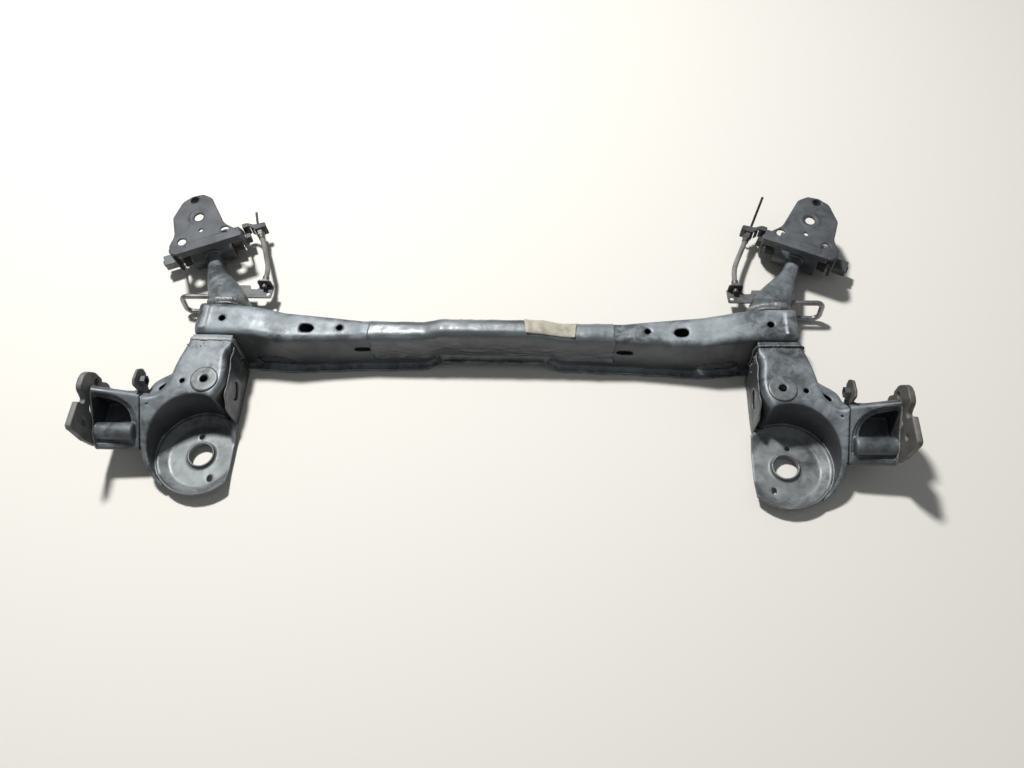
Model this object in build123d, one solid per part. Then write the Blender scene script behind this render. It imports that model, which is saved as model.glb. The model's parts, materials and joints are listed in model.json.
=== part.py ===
"""Rear axle of a small car: a twist beam with trailing arms, hub carriers and body brackets.

Millimetres. X runs across the car, +Y towards its front, +Z up, with the floor at Z = 0.
Every piece of a side is built for the right-hand side (X positive) and mirrored for the left.
"""
from build123d import *
import math
import os

# Pivot of each body bracket on its rubber bush
PIVOT_X = 591.0
PIVOT_Y = 221.0
PIVOT_SKEW = 22.5
EYE_R = 31.0
EYE_WALL = 3.5
EYE_HALF = 42.0
SHELL_WALL = 1.5
PRESS_GAP = 0.05
RUBBER_HALF = 60.0
RUBBER_COLLAR_R = 19.0
SLEEVE_R = 10.0
SLEEVE_HALF = 66.0
BUSH_CLEARANCE = 0.05
BOLT_R = 6.0
BOLT_HOLE_R = 6.3
BOLT_HEAD_R = 10.4
BOLT_HEAD_H = 8.0
BOLT_FLANGE_R = 13.0
BOLT_FLANGE_T = 3.0
BOLT_END = 3.0
NUT_LENGTH = 24.0
NUT_DEPTH = 25.0
NUT_HEIGHT = 18.0

# Body bracket: top plate and the fork under it, in the pivot's own frame
PLATE_TOP = 63.0
PLATE_T = 5.0
BOLT_LINE = -15.0
BODY_BOLT_HALF = 43.0
BODY_BOLT_REACH = 97.6
BODY_HOLE_R = 8.0
CENTRE_HOLE_R = 9.0
CENTRE_HOLE_REACH = 50.0
DRAIN_HOLE_R = 4.0
SKIRT_H = 13.0
EMBOSS_H = 1.4
COLLAR_WALL = 4.0
COLLAR_DEPTH = 15.0
FORK_T = 4.5
CHEEK_R = 19.5
SKIRT_BACK = -41.4
CHEEK_BACK = -36.2
CHEEK_FRONT = -14.0

# Cross-beam: an open inverted channel with flanges on the floor side
BEAM_HALF = 548.0
BEAM_T = 4.5
BEAM_TOP_R = 13.0
FLANGE_R = 7.0
FLANGE_W = 13.0
FLANGE_END_X = BEAM_HALF - 86.0
END_RIB_H = 2.4
BEAM_HOLE_X = BEAM_HALF - 48.0
BEAM_TOP_MID = 90.0
BEAM_TOP_CENTRE = 98.0
BEAM_TOP_END = 109.0
BEAM_ARCH = 16.0
END_CAP_T = 4.0
SEAM = 0.2

# Front arm: a tapered tube from the bush eye to the beam
ARM_WALL = 4.0
EYE_JOINT = 22.0

# Rear arm, with the spring pocket bitten out of it
ARM_INNER_X = BEAM_HALF - 74.0
ARM_OUTER_X = BEAM_HALF + 66.0
ARM_TOP = 103.0
SECTION_REACH = (0, 0, 3.5, 0, 5.0, 11.0)
LOWER_T = 3.5
CREST_Z = 66.5
CREST_SLOPE = 0.42
SEAT_X = ARM_INNER_X + 47.0
SEAT_Y = -231.0
SEAT_R = 81.0
SEAT_T = 3.5
SEAT_Z = 12.0
SEAT_RIM_Z = 22.0
SEAT_FLAT_R = 60.0
SEAT_HOLE_R = 21.0
SEAT_COLLAR_H = 8.0
SEAT_CHORD_X = SEAT_X - 56.0
LIP_H = 6.0
BUMP_X = ARM_INNER_X + 33.5
BUMP_Y = -122.0
BUMP_R = 25.0
BUMP_T = 3.0
BUMP_HOLE_R = 6.5
SLOT_Y = -114.0
SLOT_Z = 44.0

# Hub carrier
HUB_X = ARM_OUTER_X + 78.0
HUB_T = 10.0
HUB_MID_Y = -178.5
HUB_MID_Z = 100.0
HUB_PITCH_Y = 77.0
HUB_PITCH_Z = 38.0
HUB_HOLE_R = 6.25
HUB_BORE_R = 17.0
CARRIER_WALL = 4.5
TERRACE_STEP = 3.5
CHANNEL_R = 16.0
CHANNEL_DROP = 5.0
HEAD_CLEARANCE_R = 8.0
EAR_T = 5.0
EAR_HOLE_R = 6.25
EAR_HOLE_Y = -131.0
EAR_HOLE_Z = 110.0
EAR_NUT_H = 9.0
EAR_NUT_R = 10.4

# Cable loop, brake hose and their brackets
LOOP_R = 5.0
LOOP_BEND = 13.0
LOOP_Y = 88.0
LOOP_TOP_Z = 54.0
LOOP_LOW_Z = 9.0
LOOP_REACH_X = BEAM_HALF + 70.0
TAB_T = 3.0
TAB_JOG = 16.0
TAB_WALL_W = 6.0
TAB_HALF_H = 12.5
TAB_MID_Z = 4.5
TAB_END = 118.0
FITTING_U = -102.0
FITTING_R = 8.0
FERRULE_R = 6.5
FITTING_L = 12.0
FERRULE_L = 8.0
HOSE_R = 5.0
HOSE_TOP_Z = 37.0
HOSE_LOW_X = BEAM_HALF - 88.5
HOSE_LOW_Z = 46.5
PIPE_R = 2.4
UNION_R = 6.0
UNION_L = 12.0
LOW_PLATE_Z = 35.0
LOW_EAR_Y = 124.0
HOSE_LOW_Y = LOW_EAR_Y + TAB_T + FITTING_L / 2 + FERRULE_L

SIDES = ("right", "left")
SKEW = math.radians(PIVOT_SKEW)
PIVOT = Vector(PIVOT_X, PIVOT_Y, EYE_R)
OUTWARD = Vector(math.cos(SKEW), -math.sin(SKEW), 0)
FORWARD = Vector(math.sin(SKEW), math.cos(SKEW), 0)
BRACKET = Plane(origin=PIVOT, x_dir=OUTWARD, z_dir=(0, 0, 1))
AXLE_LINE = Plane(origin=PIVOT, x_dir=FORWARD, z_dir=OUTWARD)
CHEEK_OUT = SLEEVE_HALF + FORK_T
PLATE_LOW = PLATE_TOP - PLATE_T


def outline(points, radii):
    """A closed flat face through the points, each corner's radius kept to what its sides have room for."""
    corners = [Vector(*point) for point in points]
    count = len(corners)
    wanted = list(radii) if isinstance(radii, (list, tuple)) else [radii] * count
    sides = [corners[(i + 1) % count] - corners[i] for i in range(count)]
    turns = [math.tan(math.radians(sides[i - 1].get_angle(sides[i])) / 2) for i in range(count)]
    reach = [radius * turn for radius, turn in zip(wanted, turns)]
    for i, side in enumerate(sides):
        after = (i + 1) % count
        share = (reach[i] + reach[after]) / (0.9 * side.length)
        if share > 1:
            reach[i] /= share
            reach[after] /= share
    fitted = [far / turn if turn > 0.001 else 0 for far, turn in zip(reach, turns)]
    return make_face(FilletPolyline(*points, radius=fitted, close=True))


def prism(plane, points, radii, depth):
    """A plate of the outline, standing on the plane."""
    return extrude(plane * outline(points, radii), amount=depth)


def level(z):
    """The horizontal plane at a height."""
    return Plane.XY.offset(z)


def across(x):
    """The upright plane across the car at X, with Y and Z as its own axes."""
    return Plane.YZ.offset(x)


def ring(plane, outer, inner, low, high):
    """A tube about the plane's normal, between two distances along it."""
    wall = Circle(outer) - Circle(inner)
    return extrude(plane.offset(low) * wall, amount=high - low)


def rod(plane, radius, low, high):
    """A round bar about the plane's normal."""
    return extrude(plane.offset(low) * Circle(radius), amount=high - low)


def hexagon(plane, radius, low, high):
    """A hexagonal bar about the plane's normal."""
    return extrude(plane.offset(low) * RegularPolygon(radius, 6), amount=high - low)


def block(plane, low, high):
    """A box between two corners given in the plane's own axes."""
    size = [b - a for a, b in zip(low, high)]
    middle = [(a + b) / 2 for a, b in zip(low, high)]
    return plane * (Pos(*middle) * Box(*size))


def tube_path(points, radius, corner_radii):
    """A round bar along straight runs joined by arcs."""
    path = FilletPolyline(*points, radius=corner_radii)
    start = Vector(points[0])
    run = Vector(points[1]) - start
    return sweep(Plane(origin=start, z_dir=run) * Circle(radius), path=path)


def easy_radii(points):
    """The largest arc that the shorter run beside each corner allows."""
    radii = []
    for before, here, after in zip(points, points[1:], points[2:]):
        into = Vector(here) - Vector(before)
        out = Vector(after) - Vector(here)
        half_turn = math.radians(into.get_angle(out)) / 2
        radii.append(0.45 * min(into.length, out.length) / math.tan(half_turn))
    return radii


# Sections of the beam: share of the half length, top Z, floor Z, then Y of the top edges and of the wall feet
BEAM_SHAPE = (
    (0.0, BEAM_TOP_CENTRE, BEAM_ARCH, -19.0, 19.0, -21.0, 21.0),
    (0.168, BEAM_TOP_CENTRE, BEAM_ARCH, -19.0, 19.0, -21.0, 21.0),
    (0.234, BEAM_TOP_MID + 1, 1.0, -22.0, 16.0, -28.0, 22.0),
    (0.438, BEAM_TOP_MID, 0.0, -23.0, 17.0, -30.0, 25.0),
    (0.584, BEAM_TOP_MID + 2, 0.0, -29.0, 25.0, -34.0, 32.0),
    (0.703, BEAM_TOP_MID + 9, 0.0, -34.0, 27.0, -38.0, 36.0),
    (0.812, BEAM_TOP_END - 3, 0.0, -26.0, 36.0, -32.0, 44.0),
    (0.912, BEAM_TOP_END, 0.0, -26.0, 41.0, -32.0, 46.0),
    (1.0, BEAM_TOP_END, 0.0, -26.0, 42.0, -32.0, 46.0),
)
BEAM_STATIONS = [(share * BEAM_HALF, *rest) for share, *rest in BEAM_SHAPE]


def flange_width(x):
    """The flanges run out where the arms meet the beam."""
    return FLANGE_W if x < FLANGE_END_X else FLANGE_R + 0.5


def beam_section(x, top, floor, near_top, far_top, near_foot, far_foot, side):
    """The bent sheet's section at one station."""
    width = flange_width(x)
    t = BEAM_T
    points = [
        (near_foot - width, floor), (near_foot - width, floor + t), (near_foot, floor + t),
        (near_top, top), (far_top, top),
        (far_foot, floor + t), (far_foot + width, floor + t), (far_foot + width, floor),
        (far_foot - t, floor), (far_top - t, top - t), (near_top + t, top - t), (near_foot + t, floor),
    ]
    bend = FLANGE_R - t
    outer_radii = [0, 0, bend, BEAM_TOP_R, BEAM_TOP_R, bend, 0, 0]
    radii = outer_radii + [FLANGE_R, BEAM_TOP_R - t, BEAM_TOP_R - t, FLANGE_R]
    return across(side * x) * outline(points, radii)


def beam_block(x, top, floor, near_top, far_top, near_foot, far_foot, side, gap):
    """The filled outer shape of the beam at one station, grown by a gap."""
    width = flange_width(x) + gap
    foot = floor + BEAM_T + gap
    points = [
        (near_foot - width, floor - gap), (near_foot - width, foot), (near_foot - gap, foot),
        (near_top - gap, top + gap), (far_top + gap, top + gap),
        (far_foot + gap, foot), (far_foot + width, foot), (far_foot + width, floor - gap),
    ]
    radii = [0, 0, FLANGE_R - BEAM_T, BEAM_TOP_R, BEAM_TOP_R, FLANGE_R - BEAM_T, 0, 0]
    return across(side * x) * outline(points, radii)


def beam_half(section):
    """One half of the beam, ruled from station to station."""
    faces = [section(*station) for station in BEAM_STATIONS]
    return loft(faces, ruled=True)


# The holes of one half: small round hole, oblong hole, wall slot and scallop, by share of the half length
SMALL_HOLE = 0.516
OBLONG_HOLE = 0.626
WALL_SLOT = 0.447
SCALLOP = 0.759


def cross_beam():
    """The open channel, with its holes, slots and the pressed rib near each end."""
    beam = beam_half(lambda *s: beam_section(*s, 1)) + beam_half(lambda *s: beam_section(*s, -1))
    top = BEAM_TOP_END
    for side in (1, -1):
        middle = side * (BEAM_HALF - 14)
        rib_points = [(middle - 8, -20), (middle + 8, -20), (middle + 8, 36), (middle - 8, 36)]
        rib = prism(level(top - 1), rib_points, 5, END_RIB_H + 1)
        beam += chamfer(rib.faces().sort_by(Axis.Z)[-1].edges(), END_RIB_H * 0.8)
        holes = level(0) * Pos(side * BEAM_HOLE_X, 5) * Circle(5.5)
        holes += level(0) * Pos(side * SMALL_HOLE * BEAM_HALF, -2) * Circle(5)
        holes += level(0) * Pos(side * OBLONG_HOLE * BEAM_HALF, -6) * SlotOverall(24, 15)
        beam -= extrude(holes, amount=2 * top)
        wall_slot = Plane.XZ.offset(0) * Pos(side * WALL_SLOT * BEAM_HALF, 50) * SlotOverall(30, 9)
        beam -= extrude(wall_slot, amount=60)
        scallop = Plane.XZ.offset(0) * Pos(side * SCALLOP * BEAM_HALF, 19) * SlotOverall(74, 18)
        beam -= extrude(scallop, amount=60)
    return beam


def beam_end_cap():
    """The plate that closes the channel's end, set inside it."""
    x, top, floor, near_top, far_top, near_foot, far_foot = BEAM_STATIONS[-1]
    inset = BEAM_T + SEAM
    points = [
        (near_foot + inset, floor + 4), (near_top + inset, top - inset),
        (far_top - inset, top - inset), (far_foot - inset, floor + 4),
    ]
    corner = BEAM_TOP_R - BEAM_T
    return prism(across(x - END_CAP_T - 2), points, [3, corner, corner, 3], END_CAP_T)


# Body bracket in the pivot's frame: u outward along the bolt, w forward, from the pivot's axis
PLATE_OUTLINE = (
    (-72.5, -42), (-73.5, -33), (-45, 2), (-35, 76), (-20, 91), (2, 94), (24, 86),
    (50, 52), (54.5, 5), (68, -14), (73, -33), (61, -43),
)
PLATE_RADII = (4, 5, 30, 16, 12, 20, 16, 14, 30, 22, 9, 7)


def body_bracket():
    """The pressed top plate with its rolled rear edge, bolt holes and embossed ribs."""
    plate = prism(BRACKET.offset(PLATE_LOW), PLATE_OUTLINE, PLATE_RADII, PLATE_T)
    skirt = [(-69, SKIRT_BACK), (56, SKIRT_BACK), (56, SKIRT_BACK + PLATE_T), (-69, SKIRT_BACK + PLATE_T)]
    plate += prism(BRACKET.offset(PLATE_LOW - SKIRT_H), skirt, 2, SKIRT_H)
    top = BRACKET.offset(PLATE_TOP)
    bead = top * Pos(-4, BOLT_LINE - 15) * (SlotOverall(84, 11) - SlotOverall(76, 4))
    plate += extrude(bead, amount=EMBOSS_H)
    collar = top * Pos(0, BOLT_LINE + CENTRE_HOLE_REACH) * (Circle(18) - Circle(14))
    plate += extrude(collar, amount=EMBOSS_H)
    front = Pos(0, BOLT_LINE + BODY_BOLT_REACH)
    collar = BRACKET.offset(PLATE_LOW - COLLAR_DEPTH) * front * Circle(BODY_HOLE_R + COLLAR_WALL)
    plate += extrude(collar, amount=COLLAR_DEPTH)
    low = BRACKET.offset(PLATE_LOW - COLLAR_DEPTH - 1)
    holes = low * Pos(BODY_BOLT_HALF, BOLT_LINE) * Circle(BODY_HOLE_R)
    holes += low * Pos(-BODY_BOLT_HALF, BOLT_LINE) * Circle(BODY_HOLE_R)
    holes += low * front * Circle(BODY_HOLE_R)
    holes += low * Pos(0, BOLT_LINE + CENTRE_HOLE_REACH) * Circle(CENTRE_HOLE_R)
    holes += low * Pos(2, 0) * Circle(DRAIN_HOLE_R)
    return plate - extrude(holes, amount=COLLAR_DEPTH + PLATE_T + 2 + EMBOSS_H)


def bracket_fork():
    """The bent strap under the plate, with the two cheeks that hold the pivot bolt."""
    cheek = [
        (CHEEK_BACK, PLATE_LOW), (CHEEK_FRONT, PLATE_LOW),
        (CHEEK_R, 6), (CHEEK_R, -CHEEK_R), (-CHEEK_R, -CHEEK_R), (CHEEK_BACK + 4, 14),
    ]
    strap = extrude(AXLE_LINE.offset(-CHEEK_OUT) * outline(cheek, [0, 0, 16, 18, 18, 24]), amount=2 * CHEEK_OUT)
    gap = [(CHEEK_BACK - 5, PLATE_LOW - FORK_T), (CHEEK_R + 5, PLATE_LOW - FORK_T),
           (CHEEK_R + 5, -CHEEK_R - 5), (CHEEK_BACK - 5, -CHEEK_R - 5)]
    strap -= extrude(AXLE_LINE.offset(-SLEEVE_HALF) * outline(gap, 0), amount=2 * SLEEVE_HALF)
    for side in (1, -1):
        hole = Pos(side * BODY_BOLT_HALF, BOLT_LINE) * Circle(BODY_HOLE_R + 1)
        strap -= extrude(BRACKET.offset(PLATE_LOW - 2 * FORK_T) * hole, amount=3 * FORK_T)
    return strap - rod(AXLE_LINE, BOLT_HOLE_R, -CHEEK_OUT - 1, CHEEK_OUT + 1)


def pivot_bolt():
    """The long flanged bolt, with its head towards the middle of the car."""
    head_in = -CHEEK_OUT - BOLT_FLANGE_T
    bolt = hexagon(AXLE_LINE, BOLT_HEAD_R, head_in - BOLT_HEAD_H, head_in)
    bolt += rod(AXLE_LINE, BOLT_FLANGE_R, head_in, -CHEEK_OUT)
    return bolt + rod(AXLE_LINE, BOLT_R, -CHEEK_OUT, CHEEK_OUT + BOLT_FLANGE_T + NUT_LENGTH + BOLT_END)


def pivot_nut():
    """The square block nut with its round flange against the outer cheek."""
    face = CHEEK_OUT + BOLT_FLANGE_T
    body = [(-NUT_DEPTH / 2, -NUT_HEIGHT / 2), (NUT_DEPTH / 2, -NUT_HEIGHT / 2),
            (NUT_DEPTH / 2, NUT_HEIGHT / 2), (-NUT_DEPTH / 2, NUT_HEIGHT / 2)]
    nut = prism(AXLE_LINE.offset(face), body, 2, NUT_LENGTH)
    nut += rod(AXLE_LINE, BOLT_FLANGE_R, CHEEK_OUT, face)
    return nut - rod(AXLE_LINE, BOLT_R + PRESS_GAP, CHEEK_OUT - 1, face + NUT_LENGTH + 1)


def bush_inner_sleeve():
    """The steel sleeve that the bolt clamps between the cheeks."""
    return ring(AXLE_LINE, SLEEVE_R, BOLT_HOLE_R, -SLEEVE_HALF, SLEEVE_HALF)


def bush_rubber():
    """The bonded rubber, hollowed at its ends and collared beside the cheeks."""
    bore = SLEEVE_R + BUSH_CLEARANCE
    wide = EYE_R - EYE_WALL - SHELL_WALL - 2 * PRESS_GAP
    half = [
        (bore, 0), (wide, 0), (wide, EYE_HALF - 4), (wide - 4, EYE_HALF - 4),
        (RUBBER_COLLAR_R - 3, EYE_HALF - 12), (RUBBER_COLLAR_R - 2, EYE_HALF + 4),
        (RUBBER_COLLAR_R, RUBBER_HALF - 4), (RUBBER_COLLAR_R, RUBBER_HALF),
        (bore, RUBBER_HALF),
    ]
    profile = make_face(Polyline(*half, close=True))
    profile += make_face(Polyline(*[(r, -u) for r, u in half], close=True))
    section = Plane(origin=PIVOT, x_dir=(0, 0, 1), z_dir=-FORWARD) * profile
    return revolve(section, axis=Axis(PIVOT, OUTWARD))


def bush_shell():
    """The thin steel shell pressed into the arm's eye."""
    outer = EYE_R - EYE_WALL - PRESS_GAP
    return ring(AXLE_LINE, outer, outer - SHELL_WALL, -EYE_HALF + 2, EYE_HALF - 2)


def bush_eye():
    """The heavy tube welded across the front end of the arm."""
    return ring(AXLE_LINE, EYE_R, EYE_R - EYE_WALL, -EYE_HALF, EYE_HALF)


# Sections of the front arm: centre X and Y, lean in plan, width, low Z and high Z
ARM_STATIONS = (
    (PIVOT_X - EYE_JOINT * math.sin(SKEW), PIVOT_Y - EYE_JOINT * math.cos(SKEW), PIVOT_SKEW, 36.0, 7.0, 55.0),
    (BEAM_HALF + 9, 143.0, PIVOT_SKEW, 38.0, 5.0, 69.0),
    (BEAM_HALF - 13, 106.0, 18.0, 58.0, 4.0, 86.0),
    (BEAM_HALF - 36, 64.0, 5.0, 76.0, 3.0, 100.0),
    (BEAM_HALF - 38, 28.0, 0.0, 80.0, 3.0, 103.0),
)


def arm_tube(inset):
    """The front arm's smooth outer or inner shape."""
    sections = []
    for x, y, lean, width, low, high in ARM_STATIONS:
        turn = math.radians(lean)
        back = Vector(-math.sin(turn), -math.cos(turn), 0)
        plane = Plane(origin=(x, y, (low + high) / 2), x_dir=(math.cos(turn), -math.sin(turn), 0), z_dir=back)
        corner = 0.42 * width - inset
        sections.append(plane * RectangleRounded(width - 2 * inset, high - low - 2 * inset, corner))
    return loft(sections)


def beam_envelope(gap):
    """What the arms are cut back to, so that they butt against the beam's walls."""
    return beam_half(lambda *s: beam_block(*s, 1, gap))


def rear_joint():
    """The beam's straight near side, run on past its end, which the rear arm butts against."""
    face = beam_block(*BEAM_STATIONS[-1], 1, SEAM)
    shift = BEAM_HALF - ARM_INNER_X + 30
    return extrude(Pos(-shift, 0, 0) * face, amount=2 * shift, dir=(1, 0, 0))


def front_arm():
    """The hollow tapered arm between the bush eye and the beam."""
    arm = arm_tube(0) - arm_tube(ARM_WALL)
    arm -= rod(AXLE_LINE, EYE_R, -EYE_HALF, EYE_HALF)
    return largest(arm - beam_envelope(SEAM))


def largest(part):
    """The biggest solid, where a cut leaves offcuts inside a neighbour."""
    return sorted(part.solids(), key=lambda s: s.volume)[-1]


# Sections of the rear arm, fanned round the pocket: X and Y of the near and far walls, their low edges,
# the far wall's top, the shoulder's foot (share, Z), the platform's fold (share, Z) and the near top
REAR_STATIONS = (
    (ARM_INNER_X - 1, -16, BEAM_HALF + 8, -16, 4, 4, 42, 0.955, 68, 0.916, ARM_TOP, ARM_TOP),
    (ARM_INNER_X - 1, -56, BEAM_HALF + 15, -52, 4, 4, 48, 0.960, 72, 0.925, ARM_TOP, ARM_TOP),
    (ARM_INNER_X - 1, -104, ARM_OUTER_X - 37, -93, 4, 4, 74, 0.950, 86, 0.900, ARM_TOP, ARM_TOP),
    (ARM_INNER_X + 10, -150, ARM_OUTER_X - 17, -112, 4, 5, 85, 0.830, 89, 0.765, ARM_TOP, ARM_TOP),
    (ARM_INNER_X + 41, -188, ARM_OUTER_X - 7, -125, 8, 10, 88, 0.800, 91, 0.700, ARM_TOP - 1, 90),
    (ARM_INNER_X + 78, -222, ARM_OUTER_X - 4, -137, 14, 22, 91, 0.860, 94, 0.760, ARM_TOP - 1, 64),
    (ARM_OUTER_X - 26, -242, ARM_OUTER_X - 1, -146, 16, 34, 97, 0.910, 100, 0.840, ARM_TOP + 3, 55),
    (ARM_OUTER_X, -243, ARM_OUTER_X, -148, 18, 42, 100, 0.940, 104, 0.880, ARM_TOP + 7, 58),
)
# The tail that wraps the seat: angle about the seat's axis, outer radius beyond the seat's rim, top Z
TAIL_STATIONS = ((6, 10.0, 68), (-8, 11.0, 60), (-22, 10.0, 48), (-36, 7.5, 35), (-50, 4.5, 25))
TAIL_LOW = 17.0
# The sloping lip between the pocket and the arm's top: height against the crest's plane, and growth in radius
CREST_FLARE = ((-9, -3.5), (7, 12.5))
UNDERCUT = 14.0


def rear_stations(inset):
    """The sections' numbers, with the hollow run on past both ends of the arm."""
    if not inset:
        return REAR_STATIONS
    first, *middle, last = REAR_STATIONS
    reach = 3.0
    first = (first[0], first[1] + reach, first[2], first[3] + reach, *first[4:])
    last = (last[0] + reach, last[1], last[2] + reach, last[3], *last[4:])
    return (first, *middle, last)


def eased(points, reaches):
    """The radius at each corner that starts its arc a given length before the corner."""
    corners = [Vector(*point) for point in points]
    radii = []
    for i, reach in enumerate(reaches):
        into = corners[i] - corners[i - 1]
        out = corners[(i + 1) % len(corners)] - corners[i]
        radii.append(reach / math.tan(math.radians(into.get_angle(out)) / 2))
    return radii


def rear_section(station, inset):
    """One section of the arm, drawn in by a wall."""
    near_x, near_y, far_x, far_y, near_low, far_low, far_top, foot, foot_z, fold, fold_z, near_top = station
    run = Vector(far_x - near_x, far_y - near_y, 0)
    wide = run.length
    plane = Plane(origin=(near_x, near_y, 0), x_dir=run, z_dir=Vector(run.Y, -run.X, 0))
    up = 1 if plane.y_dir.Z > 0 else -1
    under = UNDERCUT if inset else 0
    points = [
        (inset, near_low - under), (wide - inset, far_low - under), (wide - inset, far_top - inset),
        (wide * foot - 0.8 * inset, foot_z - inset),
        (wide * fold - inset, fold_z - inset),
        (inset, near_top - inset),
    ]
    placed = [(u, up * z) for u, z in points]
    return plane * outline(placed, eased(placed, SECTION_REACH))


def seat_axis(z=0.0):
    """The upright axis of the spring seat."""
    return Plane(origin=(SEAT_X, SEAT_Y, z))


def rear_mass(inset):
    """The arm as a filled shape, drawn in by a wall, with the pocket taken out."""
    mass = loft([rear_section(station, inset) for station in rear_stations(inset)])
    mass -= rod(seat_axis(), SEAT_R + SEAM + inset, -2 * UNDERCUT, 2 * ARM_TOP)
    inner = ARM_INNER_X + inset
    return mass - block(Plane.XY, (inner - 50, -300, -2 * UNDERCUT), (inner, 0, 2 * ARM_TOP))


def pocket_flare():
    """The cone that takes off the pocket's upper edge."""
    tilt = math.atan(CREST_SLOPE)
    rings = []
    for rise, growth in CREST_FLARE:
        radius = SEAT_R + SEAM + growth
        up = (0, -math.sin(tilt), math.cos(tilt))
        plane = Plane(origin=(SEAT_X, SEAT_Y, CREST_Z + rise), x_dir=(1, 0, 0), z_dir=up)
        rings.append(plane * Ellipse(radius, radius / math.cos(tilt)))
    return loft(rings, ruled=True)


def arm_tail():
    """The tapering end of the pressing that wraps the seat's outer side."""
    sections = []
    for angle, width, top in TAIL_STATIONS:
        turn = math.radians(angle)
        run = Vector(math.cos(turn), math.sin(turn), 0)
        start = SEAT_R - 3
        plane = Plane(origin=Vector(SEAT_X, SEAT_Y, 0) + run * start, x_dir=run, z_dir=Vector(run.Y, -run.X, 0))
        up = 1 if plane.y_dir.Z > 0 else -1
        wide = width + 3
        points = [(0, TAIL_LOW), (wide, TAIL_LOW), (wide, top - 3), (0, top)]
        sections.append(plane * outline([(u, up * z) for u, z in points], [1, 1, 5, 3]))
    return loft(sections) - rod(seat_axis(), SEAT_R + SEAM, -UNDERCUT, 2 * ARM_TOP)


def rear_arm_upper():
    """The deep pressed shell: platform, shoulder, pocket wall and the tail round the seat."""
    shell = largest(rear_mass(0) - pocket_flare() - rear_mass(ARM_WALL))
    shell = largest(shell + arm_tail())
    shell = largest(shell - rear_joint())
    shell -= rod(Plane(origin=(BUMP_X, BUMP_Y, ARM_TOP)), BUMP_R + 1, 0, 2 * UNDERCUT)
    holes = level(SLOT_Z) * Pos(BUMP_X, BUMP_Y) * Circle(BUMP_HOLE_R)
    holes += level(SLOT_Z) * Pos(ARM_INNER_X + 73, -125) * Circle(4.2)
    holes += level(SLOT_Z) * Pos(ARM_OUTER_X - 30, -132) * Rot(0, 0, -40) * SlotOverall(17, 10)
    return shell - extrude(holes, amount=ARM_TOP)


def rear_arm_lower():
    """The closing shell: a floor plate with the tall inner wall turned up from it."""
    inner = ARM_INNER_X - SEAM
    plan = [
        (inner, -48), (BEAM_HALF + 10, -48), (BEAM_HALF + 16, -62),
        (ARM_OUTER_X - 38, -94), (ARM_OUTER_X - 22, -112),
        (ARM_OUTER_X - 18, -122), (SEAT_X + 39, -148), (SEAT_X, -148), (inner + 8, -152), (inner, -160),
    ]
    floor = prism(level(0), plan, [0, 6, 10, 10, 8, 4, 0, 0, 0, 0], LOWER_T - SEAM)
    wall = [(-46, 0), (-150, 0), (-186, 12), (-198, 16), (-198, 26), (-165, 66), (-140, 84), (-46, 92)]
    shell = floor + prism(across(inner - LOWER_T), wall, [0, 20, 0, 0, 8, 14, 10, 0], LOWER_T)
    slot = across(inner - 2 * LOWER_T) * Pos(SLOT_Y, SLOT_Z) * Rot(0, 0, 24) * SlotOverall(34, 20)
    shell -= extrude(slot, amount=3 * LOWER_T)
    shell -= rod(seat_axis(), SEAT_R + SEAM, -5, ARM_TOP)
    return largest(shell - rear_joint())


def spring_seat():
    """The dished spring pan with its collared hole and upturned rim."""
    t = SEAT_T
    low = SEAT_Z - t
    profile = [
        (SEAT_HOLE_R, low), (SEAT_FLAT_R + 1, low), (SEAT_FLAT_R + 12, SEAT_RIM_Z - t - 3),
        (SEAT_R - 3, SEAT_RIM_Z - t), (SEAT_R, SEAT_RIM_Z - t), (SEAT_R, SEAT_RIM_Z),
        (SEAT_R - 5, SEAT_RIM_Z), (SEAT_FLAT_R + 10, SEAT_RIM_Z - 4),
        (SEAT_FLAT_R, SEAT_Z), (SEAT_HOLE_R + t + 2, SEAT_Z), (SEAT_HOLE_R + t, SEAT_Z + 2),
        (SEAT_HOLE_R + t, SEAT_Z + SEAT_COLLAR_H), (SEAT_HOLE_R, SEAT_Z + SEAT_COLLAR_H),
    ]
    pan_plane = Plane(origin=(SEAT_X, SEAT_Y, 0), x_dir=(1, 0, 0), z_dir=(0, -1, 0))
    pan_face = pan_plane * make_face(Polyline(*profile, close=True))
    pan = revolve(pan_face, axis=Axis((SEAT_X, SEAT_Y, 0), (0, 0, 1)))
    lip = ring(seat_axis(SEAT_RIM_Z), SEAT_R, SEAT_R - t, 0, LIP_H)
    beyond = SEAT_R + 5
    lip -= block(Plane.XY, (SEAT_CHORD_X, SEAT_Y - 44, 0), (SEAT_X + beyond, SEAT_Y + beyond, ARM_TOP))
    lip -= block(Plane.XY, (SEAT_X - beyond, SEAT_Y - 20, 0), (SEAT_CHORD_X + 2, SEAT_Y + SEAT_R, ARM_TOP))
    pan += lip
    pan -= block(Plane.XY, (SEAT_X - beyond, SEAT_Y - SEAT_R, 0), (SEAT_CHORD_X, SEAT_Y + SEAT_R, ARM_TOP))
    holes = level(0) * Pos(SEAT_X + 8, SEAT_Y + 37) * Circle(4)
    holes += level(0) * Pos(SEAT_X - 23, SEAT_Y - 43) * SlotOverall(12, 8, rotation=90)
    return pan - extrude(holes, amount=SEAT_Z + SEAT_RIM_Z)


def bump_pad():
    """The stepped disc on the arm that meets the bump stop."""
    seat = Plane(origin=(BUMP_X, BUMP_Y, ARM_TOP + SEAM))
    disc = rod(seat, BUMP_R, 0, BUMP_T)
    disc -= rod(seat, BUMP_HOLE_R, -1, BUMP_T + 1)
    return chamfer(disc.faces().sort_by(Axis.Z)[-1].edges(), 0.8)


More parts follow.
